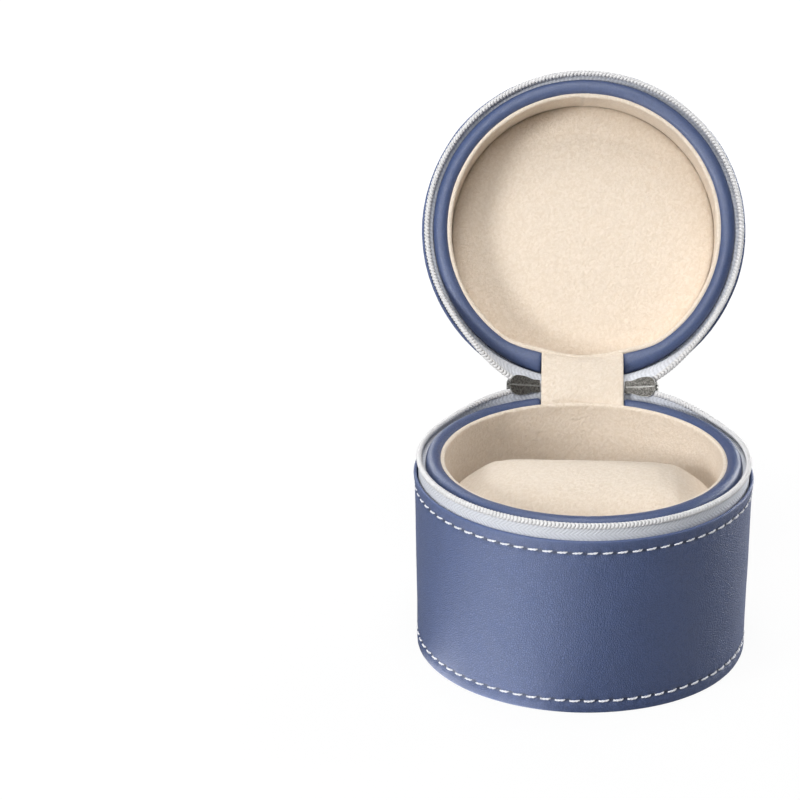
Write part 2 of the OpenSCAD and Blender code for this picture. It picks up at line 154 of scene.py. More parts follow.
class Plan:
    """The case's sizes in millimetres, and its turning parts."""

    def __init__(self, context):
        group = context.scene.case_sizes
        for name in group.__annotations__:
            value = getattr(group, name)
            setattr(self, name, value * 1000 if isinstance(value, float) else value)
        place = JOINTS["lid_hinge"]["pos_m"]
        self.hinge_y, self.mid = place[1] * 1000, place[2] * 1000
        self.opened = math.radians(-JOINTS["lid_hinge"]["range_deg"][0])
        self.lifted = math.radians(-JOINTS["zip_end_fold"]["range_deg"][0])
        self.zip_radius = self.coil_outer - self.coil_width / 2
        self.tuck_radius = self.edge_radius - self.leather
        self.lid_edge, self.crown = self.over(self.leather_top), self.lid_top - PANEL
        halves = self.slot_width / 2 + PARK_GAP, self.slider / 2
        self.park = sum(math.asin(half / PARKED_AT) for half in halves)

    def over(self, height):
        """The lid's height that mirrors a height of the drum in the plane between the collars."""
        return 2 * self.mid - height

    def turned(self, points, angle):
        """Points of the shut case, turned open about the hinge line by an angle or by one angle each."""
        points = np.asarray(points, float)
        y, z = points[..., 1] - self.hinge_y, points[..., 2] - self.mid
        c, s = np.cos(angle), np.sin(angle)
        return np.stack([points[..., 0], self.hinge_y + y * c + z * s, self.mid - y * s + z * c], -1)

    def on_lid(self, y, z):
        """The place (y, z) in the open lid of a place of the shut lid, measured from the hinge line."""
        return self.turned(np.array([0, self.hinge_y + y, self.mid + z]), self.opened)[1:]

    def wall(self, height):
        """Radius of the drum's leather at a height."""
        return self.foot_radius + (self.edge_radius - self.foot_radius) * height / self.leather_top

    def lid_wall(self, height):
        """Radius of the lid's leather at a height of the shut case."""
        share = (height - self.lid_edge) / (self.crown - self.lid_edge)
        return self.edge_radius - (self.edge_radius - self.crown_radius) * share


# ---------------------------------------------------------------- node trees


class Wire:
    """One node socket in an expression: arithmetic on it adds Math nodes."""

    def __init__(self, graph, socket):
        self.graph, self.socket = graph, socket

    def __add__(self, other):
        return self.graph.math("ADD", self, other)

    def __sub__(self, other):
        return self.graph.math("SUBTRACT", self, other)

    def __rsub__(self, other):
        return self.graph.math("SUBTRACT", other, self)

    def __mul__(self, other):
        return self.graph.math("MULTIPLY", self, other)

    def __truediv__(self, other):
        return self.graph.math("DIVIDE", self, other)

    def __pow__(self, other):
        return self.graph.math("POWER", self, other)

    __radd__, __rmul__ = __add__, __mul__


class Graph:
    """Adds nodes to a tree and hands their sockets back as Wires."""

    def __init__(self, tree):
        self.tree = tree

    def add(self, kind, settings=None, sockets=None, out=0):
        """A node of a kind, with its settings first and then the values or links of its sockets."""
        node = self.tree.nodes.new(kind)
        for name, value in (settings or {}).items():
            if name == "stops":
                for index, (place, shade) in enumerate(value):
                    stops = node.color_ramp.elements
                    stop = stops[index] if index < len(stops) else stops.new(place)
                    stop.position, stop.color = place, (shade, shade, shade, 1)
            else:
                setattr(node, name, value)
        for name, value in (sockets or {}).items():
            if isinstance(value, Wire):
                self.tree.links.new(value.socket, node.inputs[name])
            else:
                node.inputs[name].default_value = value
        return Wire(self, node.outputs[out])

    def math(self, operation, *values):
        """A Math node on wires and numbers."""
        return self.add("ShaderNodeMath", {"operation": operation}, dict(enumerate(values)))

    def smooth(self, value, start, end):
        """0 before start and 1 after end, with a smooth step between them."""
        return self.add(
            "ShaderNodeMapRange",
            {"interpolation_type": "SMOOTHSTEP"},
            {"Value": value, "From Min": start, "From Max": end},
        )

    def vector(self, operation, *values, out=0, **named):
        """A Vector Math node on wires and vectors."""
        sockets = {**dict(enumerate(values)), **named}
        return self.add("ShaderNodeVectorMath", {"operation": operation}, sockets, out)

    def shade(self, factor, first, second):
        """The first colour turned into the second by a factor."""
        first, second = ((*c, 1) if isinstance(c, tuple) else c for c in (first, second))
        return self.add("ShaderNodeMix", {"data_type": "RGBA"}, {0: factor, 6: first, 7: second}, out=2)

    def noise(self, place, size, detail=2.0, rough=0.5):
        """Smooth noise from 0 to 1, with features of a size in millimetres."""
        sockets = {"Vector": place, "Scale": 1 / size, "Detail": detail, "Roughness": rough}
        return self.add("ShaderNodeTexNoise", None, sockets)

    def part(self, vector, letter):
        """One coordinate of a vector."""
        return self.add("ShaderNodeSeparateXYZ", None, {0: vector}, out=letter)

    def bump(self, height, depth):
        """A normal bent by a height from 0 to 1, whose full depth is in millimetres."""
        sockets = {"Height": height, "Distance": depth * 0.001, "Strength": 1.0}
        return self.add("ShaderNodeBump", None, sockets)


def times(tint, factor, lift=0.0):
    """A colour times a factor, or times one for each channel, and no brighter than white."""
    factors = factor if isinstance(factor, tuple) else (factor,) * 3
    return tuple(min(1, c * f + lift) for c, f in zip(tint, factors))


def new_finish(name, metallic=0.0, **constants):
    """A material with one Principled shader; its constants are set on the shader's own sockets."""
    material = bpy.data.materials.new(name)
    material.use_nodes = True
    graph = Graph(material.node_tree)
    shader = material.node_tree.nodes["Principled BSDF"]
    shader.inputs["Metallic"].default_value = metallic
    for key, value in constants.items():
        shader.inputs[key.replace("_", " ")].default_value = value
    place = graph.vector("SCALE", graph.add("ShaderNodeTexCoord", out="Object"), Scale=1000.0)
    return material, graph, shader, place


def dress(graph, shader, base, roughness, normal):
    """Feeds the shader's colour, roughness and normal."""
    for name, wire in (("Base Color", base), ("Roughness", roughness), ("Normal", normal)):
        graph.tree.links.new(wire.socket, shader.inputs[name])


def attribute(graph, name):
    """A number stored on the mesh's points."""
    return graph.add("ShaderNodeAttribute", {"attribute_name": name}, out="Fac")


def leather_finish(name, tint, grain, depth, gloss):
    """Pebbled leather with cloudy dye, painted shade in the creases between pebbles and in the needle holes,
    and edges lightened partly as wear and partly as a painted highlight.
    """
    material, g, shader, place = new_finish(name, Specular_IOR_Level=0.85)
    shift = g.vector("SCALE", g.vector("SUBTRACT", g.noise(place, 2.2, 2), (0.5, 0.5, 0.5)), Scale=0.9)
    bent = g.vector("ADD", place, shift)
    cell = {"Vector": bent, "Scale": 1 / grain, "Randomness": 0.95}
    gap = g.add("ShaderNodeTexVoronoi", {"feature": "DISTANCE_TO_EDGE"}, cell, out="Distance")
    pebble = g.smooth(gap, 0.0, 0.24)
    pores = g.noise(place, grain * 0.28, 2)
    mottle = g.noise(bent, grain * 1.6, 3, 0.6)
    cloud = g.noise(place, 11.0, 3, 0.55)
    crease = g.noise(g.vector("MULTIPLY", bent, (1.0, 1.0, 0.45)), 1.9, 4, 0.6)
    hole, worn = attribute(g, "hole"), attribute(g, "worn")
    deep = times(tint, 0.72)
    wear_and_highlight = times(tint, 1.30, 0.012)
    body = g.shade(g.smooth(cloud, 0.25, 0.75), times(tint, 0.93), times(tint, 1.07))
    body = g.shade(g.smooth(mottle, 0.35, 0.68) * 0.55, body, times(tint, 1.22))
    # Painted shade: the creases between pebbles are darkened to the deep tint.
    body = g.shade((1 - pebble) * 0.60, body, deep)
    # Partly wear and partly a painted highlight: the turned edges are lighter.
    body = g.shade(worn * (0.35 + 0.5 * pores), body, wear_and_highlight)
    # Painted shade: the needle holes are darkened nearly to black.
    body = g.shade(hole * 0.92, body, times(tint, 0.07))
    rough = gloss + 0.06 * cloud + (1 - pebble) * 0.14 + mottle * 0.10 - worn * 0.06
    height = pebble * 0.55 + pores * 0.14 + mottle * 0.35 + crease * 0.30
    dress(g, shader, body, rough, g.bump(height, depth))
    return material


def suede_finish(name, tint):
    """Napped suede: brushed fibres that lie this way and that, over a soft uneven ground."""
    material, g, shader, place = new_finish(
        name, Sheen_Weight=0.22, Sheen_Roughness=0.45, Specular_IOR_Level=0.25
    )
    shift = g.vector("SCALE", g.noise(place, 1.6, 3), Scale=1.8)
    nap = g.noise(g.vector("ADD", place, shift), 0.95, 4, 0.66)
    brushed = g.noise(place, 3.4, 3, 0.6)
    cloud = g.noise(place, 15.0, 2)
    fibre = g.noise(place, 0.16, 2, 0.7)
    light = times(tint, 1.045)
    dark = times(tint, (0.92, 0.89, 0.84))
    body = g.shade(g.smooth(nap, 0.36, 0.66), dark, light)
    body = g.shade(g.smooth(brushed, 0.30, 0.72) * 0.35, body, times(tint, 0.965))
    body = g.shade(cloud * 0.20, body, times(tint, (0.97, 0.92, 0.86)))
    # Painted shade at the lapped joint and round the rims of the padded discs.
    body = g.shade(attribute(g, "hole") * 0.72, body, times(tint, 0.36))
    rough = 0.88 + nap * 0.10
    dress(g, shader, body, rough, g.bump(nap * 0.70 + brushed * 0.45 + fibre * 0.20, 0.70))
    return material


def tape_finish(name, tint):
    """Woven tape: herringbone ribs along the tape, drawn in its own millimetre map."""
    material, g, shader, place = new_finish(name, Sheen_Weight=0.1, Specular_IOR_Level=0.35)
    both = g.add("ShaderNodeUVMap", {"uv_map": "millimetres"})
    along = g.part(both, "X")
    across = g.part(both, "Y")
    zigzag = g.math("PINGPONG", across, 1.6)
    rib = g.math("SINE", (along + zigzag * 1.25) * (2 * math.pi / 1.35))
    weft = g.math("SINE", across * (2 * math.pi / 0.34))
    fuzz = g.noise(place, 0.22, 3, 0.65)
    cloud = g.noise(place, 6.0, 2)
    height = rib * 0.34 + 0.5 + weft * 0.10 + fuzz * 0.35
    # Painted shade and light: the weave is darker where it lies low and lighter on its ribs.
    body = g.shade(g.smooth(height, 0.25, 0.85), times(tint, 0.84), times(tint, 1.04))
    body = g.shade(cloud * 0.22, body, times(tint, 0.86))
    # Painted shade where a piece stores it.
    body = g.shade(attribute(g, "hole") * 0.8, body, times(tint, 0.35))
    dress(g, shader, body, 0.78 + fuzz * 0.16, g.bump(height, 0.13))
    return material


def coil_finish(name, tint):
    """Nylon monofilament: smooth and a little milky, with a cloudy tone."""
    material, g, shader, place = new_finish(name, Specular_IOR_Level=0.5)
    cloud = g.noise(place, 2.5, 3)
    streak = g.noise(g.vector("MULTIPLY", place, (3.0, 3.0, 0.6)), 0.5, 2)
    body = g.shade(g.smooth(cloud, 0.3, 0.7), times(tint, 0.93), tint)
    dress(g, shader, body, 0.48 + streak * 0.16, g.bump(streak * 0.4 + cloud * 0.3, 0.02))
    return material


def thread_finish(name, tint):
    """Waxed sewing thread with fine fibres along each ply."""
    material, g, shader, place = new_finish(name, Sheen_Weight=0.15, Specular_IOR_Level=0.4)
    fibre = g.noise(g.vector("MULTIPLY", place, (1.0, 1.0, 3.0)), 0.16, 3, 0.7)
    cloud = g.noise(place, 5.0, 2)
    body = g.shade(g.smooth(fibre, 0.3, 0.7), times(tint, 0.84), tint)
    body = g.shade(cloud * 0.2, body, times(tint, 0.88))
    dress(g, shader, body, 0.55 + fibre * 0.2, g.bump(fibre, 0.05))
    return material


def pewter_finish(name, tint):
    """Dark antiqued metal with a hammered face, brighter where fingers polish it."""
    material, g, shader, place = new_finish(name, metallic=1.0)
    shift = g.vector("SCALE", g.noise(place, 0.6, 2), Scale=0.5)
    cell = {"Vector": g.vector("ADD", place, shift), "Scale": 2.6}
    dent = g.add("ShaderNodeTexVoronoi", {"feature": "SMOOTH_F1"}, cell, out="Distance")
    speck = g.noise(place, 0.13, 3, 0.7)
    worn = attribute(g, "worn")
    rise = g.smooth(dent, 0.15, 0.75)
    body = g.shade(rise * (0.35 + 0.5 * speck), times(tint, 0.45), times(tint, 1.9))
    body = g.shade(worn * 0.85, body, (0.72, 0.72, 0.70))
    rough = 0.42 + speck * 0.16 - rise * 0.06 - worn * 0.20
    dress(g, shader, body, rough, g.bump(rise * 0.7 + speck * 0.5, 0.11))
    return material


def bright_finish(name, tint):
    """Bright plated wire with fine scratches."""
    material, g, shader, place = new_finish(name, metallic=1.0)
    scratch = g.noise(g.vector("MULTIPLY", place, (0.5, 4.0, 4.0)), 0.4, 3, 0.6)
    cloud = g.noise(place, 1.4, 2)
    body = g.shade(cloud * 0.4, tint, times(tint, 0.82))
    dress(g, shader, body, 0.16 + scratch * 0.18, g.bump(scratch, 0.012))
    return material


def board_finish(name, tint):
    """Grey pressed board with short fibres and specks."""
    material, g, shader, place = new_finish(name, Specular_IOR_Level=0.3)
    fibre = g.noise(g.vector("MULTIPLY", place, (1.0, 3.5, 1.0)), 1.1, 5, 0.7)
    speck = g.smooth(g.noise(place, 0.5, 2), 0.62, 0.72)
    body = g.shade(g.smooth(fibre, 0.3, 0.7), times(tint, 0.8), times(tint, 1.12))
    body = g.shade(speck * 0.5, body, times(tint, 0.5))
    dress(g, shader, body, 0.86 + fibre * 0.1, g.bump(fibre, 0.12))
    return material


FINISHES = {
    "navy_leather": (leather_finish, "navy", 0.66, 0.15, 0.44),
    "ring_leather": (leather_finish, "ring", 0.50, 0.065, 0.28),
    "cream_suede": (suede_finish, "suede"),
    "zip_tape": (tape_finish, "tape"),
    "zip_coil": (coil_finish, "coil"),
    "thread": (thread_finish, "thread"),
    "pewter": (pewter_finish, "pewter"),
    "bright_metal": (bright_finish, "bright"),
    "greyboard": (board_finish, "board"),
}


def finish(context, slot):
    """The material of a slot, made the first time that it is asked for."""
    name = "case_" + slot
    if name not in bpy.data.materials:
        make, tint, *measures = FINISHES[slot]
        make(name, tuple(getattr(context.scene.case_colours, tint)), *measures)
    return bpy.data.materials[name]


# ---------------------------------------------------------------- meshes


def arc(centre, radius, start, end, count):
    """Points of an arc in the plane of radius and height, with angles in degrees."""
    angles = np.radians(np.linspace(start, end, count))
    return np.stack([centre[0] + radius * np.cos(angles), centre[1] + radius * np.sin(angles)], -1)


def refined(points, step, closed=True):
    """A line through the points with no stretch longer than a step."""
    points = np.vstack([points, points[:1]]) if closed else np.asarray(points, float)
    out = []
    for a, b in zip(points[:-1], points[1:]):
        count = max(1, int(math.ceil(np.linalg.norm(b - a) / step)))
        out += [a + (b - a) * k / count for k in range(count)]
    return np.array(out if closed else out + [points[-1]])


def about(radius, height, angle):
    """A point of the shut case at an angle from its front."""
    return np.stack(np.broadcast_arrays(radius * np.sin(angle), -radius * np.cos(angle), height), -1)


def full_turn(steps):
    """Even angles once round, in radians."""
    return np.linspace(0, 2 * math.pi, steps, endpoint=False)


def lanes(count):
    """Places from -1 to 1 across a strip, closer together towards its edges."""
    return np.sin(np.linspace(-math.pi / 2, math.pi / 2, count))


def hump(distance, reach):
    """1 at no distance and almost 0 at two reaches."""
    return np.exp(-((distance / reach) ** 2))


def blunt(wave, power):
    """A sine or cosine whose round is squarer as the power falls."""
    return np.sign(wave) * np.abs(wave) ** power


def eased(step):
    """The soft step from 0 to 1."""
    return step * step * (3 - 2 * step)


def uneased(share):
    """The step whose soft step is a share."""
    return 0.5 - np.sin(np.arcsin(1 - 2 * share) / 3)


def off(angle, middle):
    """The angle from a middle, between half a turn back and half a turn on."""
    return np.angle(np.exp(1j * (angle - middle)))


def wobble(points, size, seed):
    """Smooth unevenness from -1 to 1, with features of a size in millimetres."""
    shift = Vector((seed, seed * 1.7, -seed))
    flat = np.asarray(points).reshape(-1, 3)
    return np.array([noise.noise(Vector(p) / size + shift) for p in flat]).reshape(np.shape(points)[:-1])


def supported(points, seats, fields):
    """Adds a row close to each end, so that the end faces leave the shading of the sides alone."""
    spots = np.sort(np.append(np.arange(len(points), dtype=float), [0.02, len(points) - 1.02]))
    before = np.minimum(spots.astype(int), len(points) - 2)
    share = spots - before

    def between(values):
        values = np.asarray(values, float)
        part = share.reshape([-1] + [1] * (values.ndim - 1))
        return values[before] * (1 - part) + values[before + 1] * part

    if seats:
        seats = (np.append(between(seats[0][: len(points)]), seats[0][-1]), seats[1])
    shape = points.shape[:2]
    fields = {key: between(np.broadcast_to(values, shape)) for key, values in (fields or {}).items()}
    return between(points), seats, fields


def linked(name, mesh):
    """A new object in the scene."""
    item = bpy.data.objects.new(name, mesh)
    bpy.context.scene.collection.objects.link(item)
    return item


def places_of(item):
    """The points of a piece, in millimetres."""
    return np.array([v.co for v in item.data.vertices]) * 1000


def put(item, places):
    """Moves the points of a piece to places in millimetres."""
    item.data.vertices.foreach_set("co", (places * 0.001).ravel())
    item.data.update()
    return item


def store(mesh, field, values):
    """Keeps a number for each point of a mesh, which its finish reads."""
    mesh.attributes.new(field, "FLOAT", "POINT").data.foreach_set("value", np.asarray(values, np.float32))


def smooth_all(mesh):
    """Shades every face of a mesh smooth."""
    mesh.polygons.foreach_set("use_smooth", [True] * len(mesh.polygons))


def skin(name, points, round_path=False, round_section=True, fields=None, seats=None):
    """A mesh over rows of points in millimetres: along a path, and round or across a section.

    A section that closes on a path that doesn't gets a fan of faces over each end. The seats are
    the places of the rows and columns in the piece's millimetre map.
    """
    closed_ends = round_section and not round_path
    if closed_ends:
        points, seats, fields = supported(points, seats, fields)
    rows, columns = points.shape[:2]
    vertices = points.reshape(-1, 3)
    along = np.arange(rows if round_path else rows - 1)
    across = np.arange(columns if round_section else columns - 1)
    i, j = (a.ravel() for a in np.meshgrid(along, across, indexing="ij"))
    i2, j2 = (i + 1) % rows, (j + 1) % columns
    faces = np.stack([i * columns + j, i2 * columns + j, i2 * columns + j2, i * columns + j2], -1).tolist()
    if seats is None:
        gaps = [np.linalg.norm(np.roll(points, -1, way) - points, axis=-1).mean(1 - way) for way in (0, 1)]
        seats = [np.concatenate([[0], np.cumsum(gap)]) for gap in gaps]
    u, v = seats
    square = ((0, 0), (1, 0), (1, 1), (0, 1))
    corners = np.stack([np.stack([u[i + a], v[j + b]], -1) for a, b in square], 1).reshape(-1, 2)
    if closed_ends:
        vertices = np.vstack([vertices, points[[0, -1]].mean(1)])
        for row, centre, order in ((0, rows * columns, 1), (rows - 1, rows * columns + 1, -1)):
            for k in range(columns):
                pair = [row * columns + k, row * columns + (k + 1) % columns]
                faces.append([centre] + pair[::order])
            corners = np.vstack([corners, [[u[row], v[0]]] * 3])
        corners = np.vstack([corners, np.zeros((6 * columns - 6, 2))])
    mesh = bpy.data.meshes.new(name)
    mesh.from_pydata((vertices * 0.001).tolist(), [], faces)
    mesh.uv_layers.new(name="millimetres").data.foreach_set("uv", corners.astype(np.float32).ravel())
    for field, values in (fields or {}).items():
        data = np.zeros(len(vertices), np.float32)
        data[: rows * columns] = np.asarray(values, np.float32).ravel()
        store(mesh, field, data)
    mesh.polygons.foreach_set("use_smooth", [len(face) == 4 for face in faces])
    item = linked(name, mesh)
    face_out(mesh)
    return item


def face_out(mesh):
    """Turns the faces of a closed mesh outwards."""
    shape = bmesh.new()
    shape.from_mesh(mesh)
    if shape.calc_volume(signed=True) < 0:
        bmesh.ops.reverse_faces(shape, faces=shape.faces)
    shape.to_mesh(mesh)
    shape.free()


def disc(name, rim, steps=96):
    """A round plate from its middle to its rim and back: rows of (radius, height)."""
    points = about(rim[None, :, 0], rim[None, :, 1], full_turn(steps)[:, None])
    item = skin(name, points, round_path=True, round_section=False)
    shape = bmesh.new()
    shape.from_mesh(item.data)
    bmesh.ops.remove_doubles(shape, verts=shape.verts, dist=0.00001)
    bmesh.ops.recalc_face_normals(shape, faces=shape.faces)
    shape.to_mesh(item.data)
    shape.free()
    smooth_all(item.data)
    return item


def from_shape(name, shape):
    """An object of a bmesh, which is freed."""
    mesh = bpy.data.meshes.new(name)
    shape.to_mesh(mesh)
    shape.free()
    return linked(name, mesh)


def merge(name, items):
    """One object of several, which are removed."""
    shape = bmesh.new()
    for item in items:
        shape.from_mesh(item.data)
        bpy.data.objects.remove(item)
    return from_shape(name, shape)


def turn(plan, item):
    """Turns a piece that is drawn shut open about the hinge line."""
    return put(item, plan.turned(places_of(item), plan.opened))


def coat(context, item, slot):
    """Gives an object the material of a slot and no other."""
    item.data.materials.clear()
    item.data.materials.append(finish(context, slot))


def complete(context, item, slot, body=None, *nodes):
    """Gives a piece the material of a slot, hangs it on the body that it rides on, and hides the nodes that
    it stands for.
    """
    coat(context, item, slot)
    if body:
        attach(item, body)
    if nodes:
        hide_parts(*nodes)
    return item


def follow(item, parent, child, places, shares, weights=None):
    """Fits the slope that best gives each place its share between two bodies, then bakes the piece's
    transform; the fit is not used and the piece does not bend.
    """
    shares = np.clip(np.asarray(shares, float).ravel(), 0, 1)
    places = np.asarray(places, float).reshape(-1, 3) * 0.001
    wanted = uneased(shares)
    table = np.hstack([places, np.ones((len(places), 1))])
    weights = np.ones(len(places)) if weights is None else np.asarray(weights, float).ravel()
    slope = np.linalg.lstsq(table * weights[:, None], wanted * weights, rcond=1e-6)[0]
    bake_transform(item)


# ---------------------------------------------------------------- repeated shapes


def repeat_tree(name, draw):
    """A tree that sets copies of a small shape along a path mesh whose points store 'outward'."""
    tree = bpy.data.node_groups.new(name, "GeometryNodeTree")
    kinds = {"Path": "Geometry", "Pitch": "Float", "Length": "Float", "Thickness": "Float", "Slant": "Float",
             "Finish": "Material"}
    for label, kind in kinds.items():
        tree.interface.new_socket(name=label, in_out="INPUT", socket_type="NodeSocket" + kind)
    tree.interface.new_socket(name="Geometry", in_out="OUTPUT", socket_type="NodeSocketGeometry")
    g = Graph(tree)
    given = tree.nodes.new("NodeGroupInput")
    value = {socket.name: Wire(g, socket) for socket in given.outputs if socket.name}
    path = g.add("GeometryNodeMeshToCurve", None, {"Mesh": value["Path"]})
    even = g.add("GeometryNodeResampleCurve", {"mode": "LENGTH"}, {"Curve": path, "Length": value["Pitch"]})
    outward = g.add("GeometryNodeInputNamedAttribute", {"data_type": "FLOAT_VECTOR"}, {"Name": "outward"})
    upright = g.add("FunctionNodeAlignRotationToVector", {"axis": "Z"}, {"Vector": outward})
    tangent = g.add("GeometryNodeInputTangent")
    turned = g.add("FunctionNodeAlignRotationToVector", {"axis": "X", "pivot_axis": "Z"},
                   {"Rotation": upright, "Vector": tangent})
    shape = g.add("GeometryNodeTransform", None, {"Geometry": draw(g, value),
                  "Rotation": g.add("ShaderNodeCombineXYZ", None, {"Z": value["Slant"]})})
    spots = {"Points": even, "Instance": shape, "Rotation": turned}
    placed = g.add("GeometryNodeInstanceOnPoints", None, spots)
    solid = g.add("GeometryNodeRealizeInstances", None, {"Geometry": placed})
    smooth = g.add("GeometryNodeSetShadeSmooth", None, {0: solid})
    done = g.add("GeometryNodeSetMaterial", None, {"Geometry": smooth, "Material": value["Finish"]})
    end = tree.nodes.new("NodeGroupOutput")
    tree.links.new(done.socket, end.inputs["Geometry"])
    return tree


def tube(g, line, radius, sides):
    """A closed tube of a radius round a curve."""
    ring = g.add("GeometryNodeCurvePrimitiveCircle", None, {"Resolution": sides, "Radius": radius})
    return g.add("GeometryNodeCurveToMesh", None, {"Curve": line, "Profile Curve": ring, "Fill Caps": True})


def draw_stitch(g, value):
    """A two-ply stitch that rises out of one needle hole and dives into the next."""
    plies = []
    for side in (0, 1):
        line = g.add("GeometryNodeCurvePrimitiveLine", None, {"Start": (-0.5, 0, 0), "End": (0.5, 0, 0)})
        line = g.add("GeometryNodeResampleCurve", {"mode": "COUNT"}, {"Curve": line, "Count": 13})
        place = g.add("GeometryNodeInputPosition")
        x = g.part(place, "X")
        twist = x * (2 * math.pi * 1.6) + side * math.pi
        rise = 0.5 - (x * 2) ** 4 * 1.25
        swirl = value["Thickness"] * 0.20
        moved = g.add("ShaderNodeCombineXYZ", None, {
            "X": x * value["Length"],
            "Y": g.math("SINE", twist) * swirl,
            "Z": g.math("COSINE", twist) * swirl + rise * value["Thickness"] - value["Thickness"] * 0.35,
        })
        line = g.add("GeometryNodeSetPosition", None, {"Geometry": line, "Position": moved})
        plies.append(tube(g, line, value["Thickness"] * 0.34, 7))
    join = g.tree.nodes.new("GeometryNodeJoinGeometry")
    for ply in plies:
        g.tree.links.new(ply.socket, join.inputs[0])
    return Wire(g, join.outputs[0])


def draw_tooth(g, value):
    """One turn of the coil: an oval loop of monofilament, leaning along the zip."""
    loop = g.add("GeometryNodeCurvePrimitiveCircle", None, {"Resolution": 12, "Radius": 1.0})
    place = g.add("GeometryNodeInputPosition")
    x = g.part(place, "X")
    y = g.part(place, "Y")
    reach = value["Length"] * 0.5 - value["Thickness"] * 0.5
    moved = g.add("ShaderNodeCombineXYZ", None, {
        "X": y * value["Thickness"] * 0.42 + x * value["Thickness"] * 0.26,
        "Y": x * reach,
        "Z": y * reach * 0.90,
    })
    loop = g.add("GeometryNodeSetPosition", None, {"Geometry": loop, "Position": moved})
    wire = tube(g, loop, value["Thickness"] * 0.5, 8)
    return g.add("GeometryNodeTransform", None, {"Geometry": wire, "Scale": (1.64, 1.0, 1.0)})


TREES = {"stitches": draw_stitch, "coil": draw_tooth}


def path_mesh(name, points, outward):
    """A line of points in millimetres that stores which way is outward."""
    mesh = bpy.data.meshes.new(name)
    edges = [(k, k + 1) for k in range(len(points) - 1)]
    mesh.from_pydata((np.asarray(points) * 0.001).tolist(), edges, [])
    ways = mesh.attributes.new("outward", "FLOAT_VECTOR", "POINT")
    ways.data.foreach_set("vector", np.asarray(outward, np.float32).ravel())
    return linked(name, mesh)


def repeated(context, name, kind, lines, slot, **inputs):
    """A plain mesh of a small shape repeated along lines, made by a Geometry Nodes tree."""
    label = "case " + kind
    tree = bpy.data.node_groups.get(label) or repeat_tree(label, TREES[kind])
    sockets = {item.name: item.identifier for item in tree.interface.items_tree if item.in_out == "INPUT"}
    made = []
    for points, outward, *pitch in lines:
        item = path_mesh(name + "_path", points, outward)
        modifier = item.modifiers.new("repeat", "NODES")
        modifier.node_group = tree
        for key, value in inputs.items():
            modifier[sockets[key]] = pitch[0] if pitch and key == "Pitch" else value
        modifier[sockets["Finish"]] = finish(context, slot)
        graph = context.evaluated_depsgraph_get()
        mesh = bpy.data.meshes.new_from_object(item.evaluated_get(graph))
        item.modifiers.clear()
        bpy.data.objects.remove(item)
        made.append(linked(name, mesh))
    whole = merge(name, made)
    smooth_all(whole.data)
    return whole


# ---------------------------------------------------------------- leather


# How far the folded strap bows the lid's lip in, and how far from the hinge that ends and fades.
BULGE = 1.9
BULGE_END = 27.0
BULGE_FADE = 15.0


def bowed(plan, angle, height, lip):
    """How far the bulk of the suede strap pushes the lid's lip and collar inwards."""
    away = np.abs(off(angle, math.pi)) * plan.lining_radius
    share = np.clip((BULGE_END - away) / BULGE_FADE, 0, 1)
    return BULGE * eased(share) * np.exp(-np.clip(np.abs(height - lip) - 1.0, 0, None) / 4.0)


def seam_pull(plan, angle, height, line):
    """How far a row of stitches draws the leather in at each place, and how much shade is painted in its
    needle holes.
    """
    phase = angle / (2 * math.pi) * plan.stitches
    gap = 0.5 + 0.5 * np.cos(2 * math.pi * phase)
    near = hump(height - line, 0.85)
    pinch = np.exp(-(np.abs(height - line) / 2.2)) * (gap - 0.5) * 0.12
    # Where shade is painted into the needle holes.
    hole_shade = np.clip(gap * 1.9 - 0.75, 0, 1) * np.exp(-(((height - line) / 0.46) ** 4))
    return near * (0.14 + 0.26 * gap) + pinch, hole_shade


def leather_wall(plan, name, outline, lines, edges, seed):
    """A turned leather wall from its section, with pulled-in seams, soft unevenness, painted shade in the
    needle holes, and edges lightened partly as wear and partly as a painted highlight.
    """
    section = refined(outline, 0.75)
    angles = full_turn(plan.stitches * 6)[:, None]
    angle, radius, height = np.broadcast_arrays(angles, section[None, :, 0], section[None, :, 1])
    rest = about(radius, height, angle)
    outer = np.clip((radius - (radius.max() - 1.6)) / 0.5, 0, 1)
    pull, hole_shade = np.zeros_like(radius), np.zeros_like(radius)
    for line in lines:
        depth, hole = seam_pull(plan, angle, height, line)
        pull, hole_shade = pull + depth, np.maximum(hole_shade, hole)
    uneven = wobble(rest, 21.0, seed) * 0.16 + wobble(rest, 7.0, seed + 5) * 0.05
    # Edges are lightened partly as wear and partly as a painted highlight.
    worn = np.zeros_like(radius)
    for edge in edges:
        worn = np.maximum(worn, hump(height - edge, 0.42))
        inwards = np.sign(np.mean(section[:, 1]) - edge)
        pull = pull - hump((height - edge) - inwards * 1.9, 1.2) * 0.14
        at_zip = abs(edge - plan.mid) < 8
        lip = hump(height - edge, 1.3) * at_zip
        radius = radius + lip * (0.26 + 0.16 * wobble(rest, 30.0, seed + 8) + 0.10 * np.abs(np.sin(angle)))
    radius = radius + uneven - outer * pull
    fields = {"hole": hole_shade * outer, "worn": worn * outer}
    return skin(name, about(radius, height, angle), round_path=True, fields=fields)


